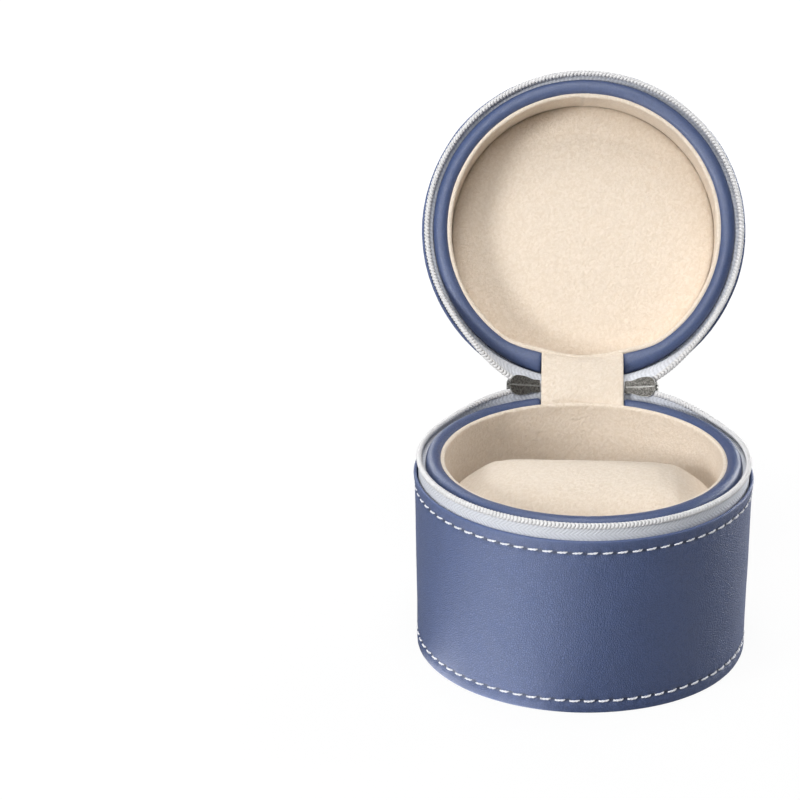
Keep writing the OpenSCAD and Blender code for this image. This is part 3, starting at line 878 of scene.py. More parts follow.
class CASE_OT_drum_leather(bpy.types.Operator):
    """Sew the drum's leather wall and base"""

    bl_idname = "case.drum_leather"
    bl_label = "Drum leather"

    def execute(self, context):
        plan = Plan(context)
        inner, soft = plan.foot_radius - plan.leather, plan.leather / 2
        outline = np.vstack([
            arc((plan.foot_radius - soft, soft), soft, 180, 360, 9),
            arc((plan.edge_radius - soft, plan.leather_top - soft), soft, 0, 180, 9),
            [[plan.tuck_radius, plan.tuck], [inner, plan.tuck - 2]],
        ])
        lines = [plan.inset, plan.leather_top - plan.inset]
        edges = [plan.leather_top - 0.2, 0.2]
        wall = leather_wall(plan, "drum_wall", outline, lines, edges, seed=3.0)
        complete(context, wall, "navy_leather", "case", "body_leather")
        rim, thick = inner - 0.1, 1.2
        outline = np.vstack([
            refined(np.array([[0, 0.25], [rim - 1.0, 0.25]]), 2.0, False),
            arc((rim - 0.45, 0.55), 0.45, -90, 0, 5), [[rim, thick], [rim - 3, thick], [0, thick]],
        ])
        complete(context, disc("drum_base", outline), "navy_leather", "case", "base_cover")
        return {"FINISHED"}


class CASE_OT_lid_leather(bpy.types.Operator):
    """Sew the lid's leather wall and its padded top panel"""

    bl_idname = "case.lid_leather"
    bl_label = "Lid leather"

    def execute(self, context):
        plan = Plan(context)
        soft, edge, crown = plan.leather / 2, plan.lid_edge, plan.crown
        inner, tuck = plan.crown_radius - plan.leather, plan.over(plan.tuck)
        outline = np.vstack([
            arc((plan.edge_radius - soft, edge + soft), soft, -180, 0, 9),
            [[plan.crown_radius, crown], [inner, crown], [inner, tuck + 2], [plan.tuck_radius, tuck]],
        ])
        lines = [edge + plan.inset, crown - plan.inset]
        wall = leather_wall(plan, "lid_wall", outline, lines, [edge + 0.2, crown], seed=11.0)
        complete(context, turn(plan, wall), "navy_leather", "lid", "lid_leather")
        rim, top = plan.crown_radius, plan.lid_top
        spread = np.linspace(0, rim - 1.2, 60)
        dome = top + 0.45 * (1 - (spread / (rim - 1.2)) ** 6) * np.cos(spread / rim * 0.9)
        groove = 0.34 * hump(spread - (rim - 2.6), 0.42)
        panel = disc("lid_top_panel", np.vstack([
            np.stack([spread, dome - groove], -1), arc((rim - 0.62, top - 0.55), 0.62, 80, -60, 8),
            [[rim - 1.2, crown - 0.02], [0, crown - 0.02]],
        ]), steps=240)
        places = places_of(panel)
        places[:, 2] += wobble(places, 26.0, 2.0) * 0.10 * (places[:, 2] > top)
        put(panel, places)
        distance = np.hypot(places[:, 0], places[:, 1])
        # The panel's rim is lightened partly as wear and partly as a painted highlight.
        store(panel.data, "worn", hump(distance - (rim - 0.25), 0.35) * (places[:, 2] > crown + 0.3))
        complete(context, turn(plan, panel), "navy_leather", "lid", "lid_top_cover", "lid_top_foam")
        return {"FINISHED"}


class CASE_OT_collars(bpy.types.Operator):
    """Wrap the two collar rings, which stop at the suede strap"""

    bl_idname = "case.collars"
    bl_label = "Collars"

    def execute(self, context):
        plan = Plan(context)
        crown, foot, top = plan.ring_width / 2, plan.ring_bottom, plan.ring_top
        inner, outer = plan.ring_outer - plan.ring_width, plan.ring_outer
        section = refined(np.vstack([
            [[inner, foot], [outer, foot]], arc((inner + crown, top - crown), crown, 0, 180, 22),
        ]), 0.9)
        centre = np.array([inner + crown, (foot + top) / 2])
        end_rows, end_sizes = [0, 0.0012, 0.0035, 0.007], [0.88, 0.965, 0.99, 1]
        share = np.concatenate([end_rows, np.linspace(0.012, 0.988, 380), [0.993, 0.9965, 0.9988, 1]])
        squeeze = np.concatenate([end_sizes, np.ones(380), end_sizes[::-1]])
        grown = centre + (section[None] - centre) * squeeze[:, None, None]
        half = np.arcsin(plan.slot_width / 2 / grown[..., 0])
        angle = (math.pi + half) + (2 * math.pi - 2 * half) * share[:, None]
        rest = about(grown[..., 0], grown[..., 1], angle)
        rings = (("drum_ring", "case", "body_collar", 4.0), ("lid_ring", "lid", "lid_collar", 9.0))
        for name, body, node, seed in rings:
            soft = wobble(rest, 9.0, seed) * 0.10 + wobble(rest * [1, 1, 2.5], 3.2, seed + 2) * 0.025
            seam = hump(off(angle, 0.015) * plan.ring_outer, 0.28) * 0.16
            radius = grown[..., 0] + (soft - seam) * (grown[..., 0] - centre[0]) / crown
            if body == "lid":
                inward = np.clip((outer - grown[..., 0]) / plan.ring_width, 0, 1)
                radius = radius - inward * bowed(plan, angle, grown[..., 1], top)
            raised_by = np.clip((grown[..., 1] - (top - crown)) / crown, 0, 1)
            height = grown[..., 1] + (soft * 0.6 - seam) * raised_by
            ring = skin(name, about(radius, height, angle))
            if body == "lid":
                places = places_of(ring)
                places[:, 2] = plan.over(places[:, 2])
                face_out(put(ring, places).data)
                turn(plan, ring)
            complete(context, ring, "ring_leather", body, node)
        return {"FINISHED"}


# ---------------------------------------------------------------- suede


def suede_wall(plan, name, foot, lip, seed, sign):
    """Suede wall with a rolled lip and a lapped joint, from its foot to its lip."""
    inner, outer = plan.lining_radius, plan.ring_outer - plan.ring_width - 0.05
    roll = 0.82
    section = refined(np.vstack([
        [[outer, foot], [inner, foot], [inner, lip - sign * 3.0], [inner - 0.06, lip - sign * 1.7]],
        arc((inner + roll - 0.16, lip - sign * 0.36), roll, sign * 180, 0, 16),
        [[outer, lip - sign * 1.2]],
    ]), 0.9)
    angles = full_turn(300)[:, None]
    angle, radius, height = np.broadcast_arrays(angles, section[None, :, 0], section[None, :, 1])
    rest = about(radius, height, angle)
    inside = np.clip((outer - 0.2 - radius) / 0.4, 0, 1)
    near_lip = np.exp(-np.abs(height - lip) / 5.0)
    soft = wobble(rest * [1, 1, 0.55], 10.0, seed) * 0.22 + wobble(rest, 4.0, seed + 3) * 0.06 * near_lip
    away = off(angle, -0.02) * inner
    lap = 0.30 * np.exp(-np.clip(away, 0, None) / 5.0) * (away >= -0.35)
    radius = radius - inside * (lap + soft * 0.8)
    if sign < 0:
        radius = radius - bowed(plan, angle, height, lip)
    # Painted shade along the lapped joint.
    fields = {"hole": hump(away, 0.30) * 0.30 * inside}
    return skin(name, about(radius, height, angle), round_path=True, fields=fields)


def padded_disc(plan, name, face, back, sign, seed, rise):
    """A padded suede disc whose edge is pulled down into the wall's foot."""
    rim = plan.lining_radius - 0.06
    spread = np.linspace(0, rim, 70)
    puff = rise * (1 - np.exp(-(((rim - spread) / 3.2) ** 1.3)))
    top = face + sign * (puff - 0.35 * hump(rim - spread, 0.8))
    outline = np.vstack([np.stack([spread, top], -1), [[rim, back], [rim - 4, back], [0, back]]])
    pad = disc(name, outline, steps=220)
    places = places_of(pad)
    shown = np.abs(places[:, 2] - back) > 0.3
    places[:, 2] += (wobble(places, 17.0, seed) * 0.16 + wobble(places, 6.0, seed + 2) * 0.035) * shown
    put(pad, places)
    # Painted shade round the rim, where the disc is pulled down into the wall.
    store(pad.data, "hole", hump(np.hypot(places[:, 0], places[:, 1]) - rim, 0.5) * 0.55)
    return pad


class CASE_OT_linings(bpy.types.Operator):
    """Line the drum and the lid with suede"""

    bl_idname = "case.linings"
    bl_label = "Linings"

    def execute(self, context):
        plan = Plan(context)
        wall = suede_wall(plan, "drum_lining", plan.board_top, plan.lining_top, seed=5.0, sign=1)
        complete(context, wall, "cream_suede", "case", "body_lining")
        face, back = plan.floor_top - 0.1, plan.board_top
        floor = padded_disc(plan, "drum_floor", face, back, sign=1, seed=6.0, rise=0.3)
        complete(context, floor, "cream_suede", "case", "floor_pad")
        deep = plan.lid_lining + 1.9
        wall = suede_wall(plan, "lid_lining_wall", deep, plan.over(plan.lining_top), seed=8.0, sign=-1)
        complete(context, turn(plan, wall), "cream_suede", "lid", "lid_lining")
        pad = padded_disc(plan, "lid_pad", plan.lid_lining, deep, sign=-1, seed=14.0, rise=0.55)
        complete(context, turn(plan, pad), "cream_suede", "lid", "lid_lining_disc", "lid_lining_foam")
        return {"FINISHED"}


# ---------------------------------------------------------------- zip


# Angles from the hinge, in degrees, between which each tape and coil is cut into slices. Up to the
# first they are meshed and sewn in, and past the last they ride on the drum or the lid alone.
SLICES = (24.0, 28.0, 33.0, 39.0, 46.0, 55.0, 67.0, 80.0)
FRONT_END = 180 - SLICES[-1]
# Where each side starts to leave its rim, in degrees from the hinge, and how suddenly.
LEAVES = {"drum": (66.0, 2.6), "lid": (79.0, 2.3)}
# Each side of the zip: its name, its body, and the CAD nodes of its tape and its coil.
SIDES = (("drum", "case", "body_zip_tape", "body_zip_coil"), ("lid", "lid", "lid_zip_tape", "lid_zip_coil"))
# Where the coils start to close on each other, in degrees from the hinge, and over how many
# degrees; and how far the middle of a meshed coil lies from the plane between the collars.
CLOSES_AT, CLOSES_OVER, MESHED = 28.0, 6.0, 0.72
# Where the knee of the tape's web starts to lie lower, in degrees from the hinge, over how many
# degrees, and how much lower in millimetres.
KNEE_AT, KNEE_OVER, KNEE_DROP = 62.0, 26.0, 1.6
COIL = {"Length": 0.0020, "Thickness": 0.00068, "Slant": 0.0}


def slices():
    """The name of each slice of one side, and the angles from the front where it starts and ends."""
    for hand, way in (("left", -1), ("right", 1)):
        for index, (near, far) in enumerate(zip(SLICES[:-1], SLICES[1:])):
            yield f"{hand}_{index + 1}", way * (180 - far), way * (180 - near)


def folded(degrees):
    """Angles from the front that run on past 180, as angles from -180 to 180."""
    return np.where(degrees > 180, degrees - 360, degrees)


def raised(plan, side, from_hinge):
    """How far a side of the zip is turned open at an angle from the hinge, in radians."""
    leaves, power = LEAVES[side]
    share = np.clip((leaves - from_hinge) / (leaves - SLICES[0]), 0, 1) ** power
    return plan.lifted * share if side == "drum" else plan.opened - (plan.opened - plan.lifted) * share


def coil_line(plan, side, degrees):
    """The coil's middle line, its outward direction and its lift, at angles from the front in degrees."""
    from_hinge = 180 - np.abs(degrees)
    middle = (plan.coil_bottom + plan.coil_top) / 2 - 0.1
    closing = np.clip((CLOSES_AT - from_hinge) / CLOSES_OVER, 0, 1)
    drop = plan.mid - middle
    drop = drop + (MESHED - drop) * eased(closing)
    height = plan.mid - drop if side == "drum" else plan.mid + drop
    angle = np.radians(degrees)
    lift = raised(plan, side, from_hinge)
    points = plan.turned(about(plan.zip_radius, height, angle), lift)
    outward = plan.turned(about(plan.zip_radius + 1, height, angle), lift) - points
    return points, outward, lift


def tape_sheet(plan, name, side, degrees):
    """A stretch of tape from its tuck to the coil, its points and their lift.

    Past the coil the tape runs inwards as a web to the collar, from a knee that lies lower towards
    the hinge. Every row has the same number of points: the web's last point stands in for those
    of the inner face that the web takes up.
    """
    at = folded(degrees)
    from_hinge = 180 - np.abs(at)
    up = 1 if side == "drum" else -1
    hold, tuck, top = plan.leather_top, plan.tuck, plan.coil_bottom + 0.5
    if side == "lid":
        hold, tuck, top = plan.over(hold), plan.over(tuck), plan.over(top)
    half = plan.tape / 2
    outer_face = np.concatenate([np.linspace(tuck, hold, 4), hold + (top - hold) * np.linspace(0.10, 1, 12)])
    inner_face = outer_face[::-1]
    knee = (top - up * 1.3) - up * np.clip((KNEE_AT - from_hinge) / KNEE_OVER, 0, 1) * KNEE_DROP
    edge = plan.ring_outer + 0.08 - plan.zip_radius
    web = np.linspace(0, 1, 6)
    rows = []
    for height in knee:
        above = inner_face[(inner_face - height) * up > 0.12]
        below = inner_face[(inner_face - height) * up < -0.55]
        over = np.stack([-half + (edge + half) * web, height - up * 0.75 * web**0.7], -1)
        under = over[::-1] - [0, up * 0.35]
        spare = np.repeat(under[-1:], len(inner_face) - len(above) - len(below), 0)
        above, below = (np.stack([np.full(len(part), -half), part], -1) for part in (above, below))
        outer = np.stack([np.full(len(outer_face), half), outer_face], -1)
        rows.append(np.vstack([outer, [[0, top + up * half]], above, over, under, spare, below]))
    section = np.array(rows)
    rise = np.clip((section[..., 1] - hold) / (top - hold), 0, 1)
    rise = rise * np.clip((section[..., 0] - edge) / (-half - edge), 0, 1)
    full, rim = (plan.lifted, 0.0) if side == "drum" else (plan.opened, 1.0)
    reach = uneased(raised(plan, side, from_hinge)[:, None] / full)
    lift = full * eased(rim + (reach - rim) * rise)
    shut = about(plan.zip_radius + section[..., 0], section[..., 1], np.radians(at)[:, None])
    points = plan.turned(shut, lift)
    across = np.abs(np.append(section[0, :, 1], section[0, 0, 1]) - tuck)
    along = np.radians(np.append(degrees, 2 * degrees[-1] - degrees[-2])) * plan.zip_radius
    return skin(name, points, seats=(along, across)), points, lift


def share_of(plan, side, lift):
    """The bodies between which a side of the zip bends, and each point's share of the second."""
    if side == "drum":
        return "case", "zip_end", lift / plan.lifted
    return "case", "lid", lift / plan.opened


class CASE_OT_zip_tapes(bpy.types.Operator):
    """Weave the tapes, which leave the rims on both sides of the hinge and meet in the sliders"""

    bl_idname = "case.zip_tapes"
    bl_label = "Zip tapes"

    def execute(self, context):
        plan = Plan(context)
        for side, body, node, _ in SIDES:
            tape = tape_sheet(plan, side + "_tape", side, np.linspace(-FRONT_END, FRONT_END, 170))[0]
            complete(context, tape, "zip_tape", body, node)
            ends = 180 - SLICES[0], 180, 180 + SLICES[0]
            across_hinge = np.concatenate([np.linspace(*ends[:2], 16), np.linspace(*ends[1:], 16)[1:]])
            self.bend(context, plan, side + "_tape_back", side, across_hinge, pull=0)
            for name, start, end in slices():
                degrees = np.linspace(start, end, 14)
                self.bend(context, plan, f"{side}_tape_{name}", side, degrees, pull=10)
        return {"FINISHED"}

    @staticmethod
    def bend(context, plan, name, side, degrees, pull):
        """A stretch of tape across the turn; pull favours its edge at the coil in a fit that is not used."""
        piece, points, lift = tape_sheet(plan, name, side, degrees)
        first, second, share = share_of(plan, side, lift)
        complete(context, piece, "zip_tape")
        turned = np.abs(share - share[:, :1])
        turned /= np.maximum(turned.max(1, keepdims=True), 1e-6)
        follow(piece, first, second, points, share, 1 + pull * turned**2)


def spaced(points, outward, pitch):
    """A line cut half a turn of the coil short at both ends, with the turns spread evenly along it."""
    ways = np.concatenate([[0], np.cumsum(np.linalg.norm(np.diff(points, axis=0), axis=1))])
    turns = max(1, round(ways[-1] / pitch))
    step = ways[-1] / turns
    inside = np.linspace(step / 2, ways[-1] - step / 2, turns)
    cut = [np.stack([np.interp(inside, ways, row[:, k]) for k in range(3)], -1) for row in (points, outward)]
    return *cut, step * (turns - 1) / (turns - 0.99) * 0.001


class CASE_OT_zip_coils(bpy.types.Operator):
    """Set the nylon coil along both tapes and mesh it at the hinge"""

    bl_idname = "case.zip_coils"
    bl_label = "Zip coils"

    def execute(self, context):
        plan = Plan(context)
        for side, body, _, node in SIDES:
            line = coil_line(plan, side, np.linspace(-FRONT_END, FRONT_END, 400))
            complete(context, self.wound(context, plan, side + "_coil", [line]), "zip_coil", body, node)
            for name, start, end in slices():
                # Every slice is wound the same way round the case, so that its turns all lean alike.
                line = coil_line(plan, side, np.sort(np.linspace(start, end, 60)))
                coil = self.wound(context, plan, f"{side}_coil_{name}", [line])
                complete(context, coil, "zip_coil")
                self.bend(plan, coil, side, *line)
        rows = []
        for side, shift in (("drum", 0.0), ("lid", math.degrees(plan.tooth_pitch / 2 / plan.zip_radius))):
            degrees = np.linspace(180 - SLICES[0] + shift, 180 + SLICES[0] + shift, 160)
            rows.append(coil_line(plan, side, folded(degrees)))
        chain = self.wound(context, plan, "closed_coil", rows)
        complete(context, chain, "zip_coil", "zip_end", "zip_end_chain")
        coat(context, frame["nodes"]["zip_end_stops"], "bright_metal")
        return {"FINISHED"}

    @staticmethod
    def wound(context, plan, name, lines):
        """Turns of the coil along lines of points, outward directions and lifts."""
        paths = [spaced(points, outward, plan.tooth_pitch) for points, outward, _ in lines]
        return repeated(context, name, "coil", paths, "zip_coil", Pitch=plan.tooth_pitch / 1000, **COIL)

    @staticmethod
    def bend(plan, coil, side, points, outward, lift):
        """Fits a slice of coil's shares between two bodies at places all round its line; nothing is bent."""
        first, second, share = share_of(plan, side, lift)
        across = np.cross(np.gradient(points, axis=0), outward)
        across /= np.linalg.norm(across, axis=1)[:, None]
        around = [points + reach * way for reach in (-0.9, 0.9) for way in (outward, across)]
        follow(coil, first, second, np.concatenate([points, *around]), np.tile(share, 5))


# ---------------------------------------------------------------- sliders and pulls


def parked(plan, points, hand):
    """Points drawn with x towards the tail, y outwards and z up, at the parked slider of a hand."""
    points = np.asarray(points, float).copy()
    if hand == "right":
        points[..., 0] *= -1
    way = 1 if hand == "left" else -1
    c, s = math.cos(plan.park * way), math.sin(plan.park * way)
    x, y = points[..., 0] * c - points[..., 1] * s, points[..., 0] * s + points[..., 1] * c
    return plan.turned(np.stack([x, y, points[..., 2] + plan.mid], -1), plan.lifted)


# Inner and outer radius of a slider's two plates and of the rails along their edges, in millimetres.
LOWER_PLATE, UPPER_PLATE = (48.62, 49.15), (51.25, 51.95)
RAILS = ((48.7, 49.55), (50.85, 51.6))
# Radius of the bar from which a pull hangs.
PIN = 52.95


def slider_half(plan, x):
    """Half the slider's width at a distance from its middle, round at its nose and waisted at its tail."""
    half, nose, tail = plan.slider / 2, plan.slider_nose / 2, plan.slider_tail / 2
    at_nose = [-half, -half + 0.25, -half + 0.7, -half + 1.4, -half + 2.4]
    widths = np.array([0.30, 0.55, 0.76, 0.92, 1.0, 0.97, 0.86, 0.70]) * nose
    widths = np.append(widths, np.array([1.0, 1.02, 0.90]) * tail)
    return np.interp(x, [*at_nose, -0.6, 0.9, 2.1, 3.2, half - 0.25, half], widths)


def slider_plate(plan, name, hand, radii, dome, face, polish=0.0):
    """One plate of a slider between two radii, domed and ridged on its face, which looks out or in."""
    half = plan.slider / 2
    nose, tail = [-half, -half + 0.1, -half + 0.25], [half - 0.25, half - 0.08, half]
    xs = np.concatenate([nose, np.linspace(-half + 0.5, half - 0.5, 44), tail])
    widths = np.convolve(np.pad(slider_half(plan, xs), 2, mode="edge"), np.ones(5) / 5, "valid")
    x, across = xs[:, None], lanes(25)[None]
    z = widths[:, None] * across
    rim = np.clip(1 - np.abs(across) ** 10, 0, 1)
    ends = np.clip(np.minimum(x + half, half - x) / 0.7, 0, 1) ** 0.5
    crown = dome * rim * ends * (1 - 0.55 * across**2)
    ridge = 0.16 * hump(z, 0.20) * np.clip((x + half - 0.6) / 1.5, 0, 1)
    groove = 0.07 * hump(np.abs(across) - 0.80, 0.07) * ends
    shown = crown + (ridge - groove) * rim
    bright = hump(z, 0.13) * 0.55 + (np.abs(across) > 0.97) * 0.75
    plain = np.full(bright.shape, polish)
    inner, outer = radii
    near, far = (inner - shown, outer) if face == "inward" else (inner, outer + shown)
    layers = []
    for radius in (near, far):
        reach = np.sqrt(np.clip(radius**2 - x**2, 0, None))
        layers.append(np.stack(np.broadcast_arrays(x, reach, z), -1))
    points = np.concatenate([layers[0], layers[1][:, ::-1]], 1)
    worn = [bright, plain] if face == "inward" else [plain, bright[:, ::-1]]
    return skin(name, parked(plan, points, hand), fields={"worn": np.concatenate(worn, 1)})


def block(plan, name, hand, corners, bevel):
    """A box between two corners with rounded edges, placed at the parked slider."""
    first, second = np.array(corners)
    shape = bmesh.new()
    bmesh.ops.create_cube(shape, size=1)
    for v in shape.verts:
        v.co = (first + second) / 2 + np.array(v.co) * (second - first)
    bmesh.ops.bevel(shape, geom=shape.edges[:], offset=bevel, segments=3, affect="EDGES")
    for v in shape.verts:
        v.co = parked(plan, v.co, hand) * 0.001
    bmesh.ops.recalc_face_normals(shape, faces=shape.faces)
    return from_shape(name, shape)


def square_to(path):
    """The direction square to a flat path at each of its points."""
    ahead = np.gradient(path, axis=0)
    ahead /= np.linalg.norm(ahead, axis=1)[:, None]
    return np.stack([-ahead[:, 1], ahead[:, 0]], -1)


def swept_strip(plan, name, hand, path, width, thick):
    """A rounded strip of a width along a path of (x, y), placed at the parked slider."""
    path = refined(path, 0.25, False)
    corner = full_turn(20)
    across = blunt(np.cos(corner), 0.45) * width / 2
    depth = blunt(np.sin(corner), 0.6) * thick / 2
    flat = path[:, None] + square_to(path)[:, None] * depth[None, :, None]
    points = np.concatenate([flat, np.broadcast_to(across[None, :, None], (*flat.shape[:2], 1))], -1)
    return skin(name, parked(plan, points, hand))


class CASE_OT_sliders(bpy.types.Operator):
    """Cast the two sliders with their bails"""

    bl_idname = "case.sliders"
    bl_label = "Sliders"

    def execute(self, context):
        plan = Plan(context)
        nose = -plan.slider / 2
        for hand in ("left", "right"):
            name = f"slider_{hand}_shell"
            post = (nose + 0.6, 48.9, -0.28), (nose + 2.4, 51.6, 0.28)
            parts = [
                slider_plate(plan, name + "_a", hand, LOWER_PLATE, dome=0.10, face="inward"),
                slider_plate(plan, name + "_b", hand, UPPER_PLATE, dome=0.20, face="outward", polish=1.0),
                block(plan, name + "_c", hand, post, bevel=0.1),
            ]
            for sides in ((-2.95, -2.58), (2.58, 2.95)):
                for inner, outer in RAILS:
                    rail = (nose + 1.7, inner, sides[0]), (-0.4, outer, sides[1])
                    parts.append(block(plan, name + "_r", hand, rail, bevel=0.08))
            complete(context, merge(name, parts), "pewter", "slider_" + hand, "slider_body_" + hand)
            top, foot, reach, soft = 54.05, 51.8, 2.5, 0.9
            bend = arc((reach - soft, top - soft), soft, 0, 90, 7)
            path = np.vstack([[[reach, foot]], bend, bend[::-1] * [-1, 1], [[-reach, foot]]])
            bail = swept_strip(plan, f"slider_{hand}_bail", hand, path, width=1.6, thick=0.6)
            complete(context, bail, "bright_metal", "slider_" + hand, "slider_bail_" + hand)
        return {"FINISHED"}


def pull_outline():
    """Half widths of the pull's leaf against distance from its bar: shoulders, belly and a round tip."""
    stops = [3.2, 3.6, 4.6, 6.6, 8.4, 10.6, 12.4, 13.8, 14.55, 14.9, 15.0]
    halves = [1.95, 2.0, 2.15, 2.55, 2.92, 3.0, 2.83, 2.2, 1.35, 0.6, 0.12]
    round_tip = 13.6 + 1.4 * np.sin(np.linspace(0, math.pi / 2, 17))[1:]
    y = np.concatenate([np.linspace(3.2, 13.6, 56), round_tip])
    smooth = np.convolve(np.pad(np.interp(y, stops, halves), 3, mode="edge"), np.ones(7) / 7, "valid")
    tip = y > 12.0
    smooth[tip] = np.sqrt(np.clip(9 - (y[tip] - 12.0) ** 2, 0.004, None)) * (smooth[np.argmax(tip)] / 3.0)
    return y, smooth


class CASE_OT_pulls(bpy.types.Operator):
    """Cast the two pulls that hang from the sliders"""

    bl_idname = "case.pulls"
    bl_label = "Pulls"

    def execute(self, context):
        plan = Plan(context)
        leaf, worn = self.leaf()
        shapes = (("_a", leaf, {"worn": worn}), ("_b", self.arm(-1), None), ("_b", self.arm(1), None),
                  ("_c", self.bar(), None))
        for hand, way in (("left", 1), ("right", -1)):
            centre = np.array([-way * PIN * math.sin(plan.park), PIN * math.cos(plan.park), plan.mid])
            name = f"pull_{hand}_leaf"
            parts = []
            for mark, points, fields in shapes:
                parts.append(skin(name + mark, plan.turned(points + centre, plan.lifted), fields=fields))
            complete(context, merge(name, parts), "pewter", "pull_" + hand, "slider_pull_" + hand)
        return {"FINISHED"}

    @staticmethod
    def leaf():
        """The leaf and how worn it is, drawn from the bar with y down the pull."""
        y, half = pull_outline()
        y, across = y[:, None], lanes(21)[None]
        rim = np.clip(1 - np.abs(across) ** 8, 0, 1) ** 0.5
        border = hump(np.abs(across) - 0.86, 0.10) * 0.16
        inside = np.clip((y - 5.0) / 0.8, 0, 1) * np.clip((14.0 - y) / 0.8, 0, 1)
        thick = 0.12 + 0.46 * rim + (border - 0.10 * (np.abs(across) < 0.74)) * inside
        z = half[:, None] * across
        face, back = (np.stack(np.broadcast_arrays(x, y, z), -1) for x in (thick, -thick))
        worn = hump(np.abs(across) - 0.86, 0.08) * inside * 0.5 + (np.abs(across) > 0.97) * 0.6
        return np.concatenate([face, back[:, ::-1]], 1), np.concatenate([worn, worn[:, ::-1]], 1)

    @staticmethod
    def arm(side):
        """One of the two arms from the leaf's shoulders to the bar."""
        y, spin = np.linspace(-0.1, 3.9, 14)[:, None], full_turn(16)[None]
        z = side * 1.5 + blunt(np.sin(spin), 0.6) * 0.39
        return np.stack(np.broadcast_arrays(blunt(np.cos(spin), 0.6) * 0.58, y, z), -1)

    @staticmethod
    def bar():
        """The bar that the bail holds, thinner at its ends."""
        z, spin = np.linspace(-1.9, 1.9, 12)[:, None], full_turn(20)[None]
        size = 0.5 * np.clip((1.9 - np.abs(z)) / 0.2 + 0.7, 0, 1)
        return np.stack(np.broadcast_arrays(np.cos(spin) * size, np.sin(spin) * size, z), -1)


# ---------------------------------------------------------------- stitches


class CASE_OT_stitches(bpy.types.Operator):
    """Sew the four rows of stitches round the walls"""

    bl_idname = "case.stitches"
    bl_label = "Stitches"

    def execute(self, context):
        plan = Plan(context)
        top, edge, crown = plan.leather_top, plan.lid_edge, plan.crown
        rows = (
            ("drum_edge_thread", "case", "body_edge_stitches", top - plan.inset, plan.wall, True),
            ("drum_foot_thread", "case", "base_stitches", plan.inset, plan.wall, False),
            ("lid_edge_thread", "lid", "lid_edge_stitches", edge + plan.inset, plan.lid_wall, True),
            ("lid_crown_thread", "lid", "lid_crown_stitches", crown - plan.inset, plan.lid_wall, False),
        )
        pitch = 2 * math.pi / plan.stitches
        blocked = math.asin((plan.slot_width + plan.stitch) / 2 / plan.edge_radius)
        for name, body, node, height, wall, slotted in rows:
            middles = [(k + 0.5) * pitch for k in range(plan.stitches)]
            if slotted:
                past_strap = [a - 2 * math.pi for a in middles if a - math.pi >= blocked]
                middles = past_strap + [a for a in middles if math.pi - a >= blocked]
            spans = [np.linspace(a, b, 4, endpoint=False) for a, b in zip(middles[:-1], middles[1:])]
            fine = np.concatenate([*spans, middles[-1:]])
            line, outward = about(wall(height) - SUNK, height, fine), about(1.0, 0.0, fine)
            step = np.linalg.norm(np.diff(line, axis=0), axis=1).sum() / (len(middles) - 1) * 0.001
            # A pitch just under the step keeps the last stitch.
            sewn = repeated(context, name, "stitches", [(line, outward)], "thread", Pitch=step * 0.99999,
                            Length=plan.stitch / 1000, Thickness=plan.thread / 1000, Slant=0.075)
            if body == "lid":
                turn(plan, sewn)
            complete(context, sewn, "thread", body, node)
        return {"FINISHED"}


# ---------------------------------------------------------------- hinge straps


# Where the suede strap runs up behind the drum's lining, in millimetres behind the middle.
SUEDE_AT = 44.1


def ribbon(name, path, width, curve, thick, steps=33):
    """A flat strap along a path in the YZ plane, whose sides lie back by a curve of their own."""
    x = lanes(steps) * width / 2
    thin = np.clip(1 - (np.abs(x) / (width / 2)) ** 24, 0, 1) ** 0.5
    layers = []
    for face in (1, -1):
        depth = face * thick / 2 * thin
        flat = path[:, None] + square_to(path)[:, None] * depth[None, :, None] + curve(x)
        layer = np.concatenate([np.broadcast_to(x[None, :, None], (*flat.shape[:2], 1)), flat], -1)
        layers.append(layer[:, ::face])
    return skin(name, np.concatenate(layers, 1))


def bezier(a, b, c, d, count):
    """Points of a cubic curve from a to d, drawn towards b and c."""
    u = np.linspace(0, 1, count)[:, None]
    near, far = (1 - u) ** 3 * np.array(a) + 3 * u * (1 - u) ** 2 * np.array(b), u**3 * np.array(d)
    return near + 3 * u**2 * (1 - u) * np.array(c) + far


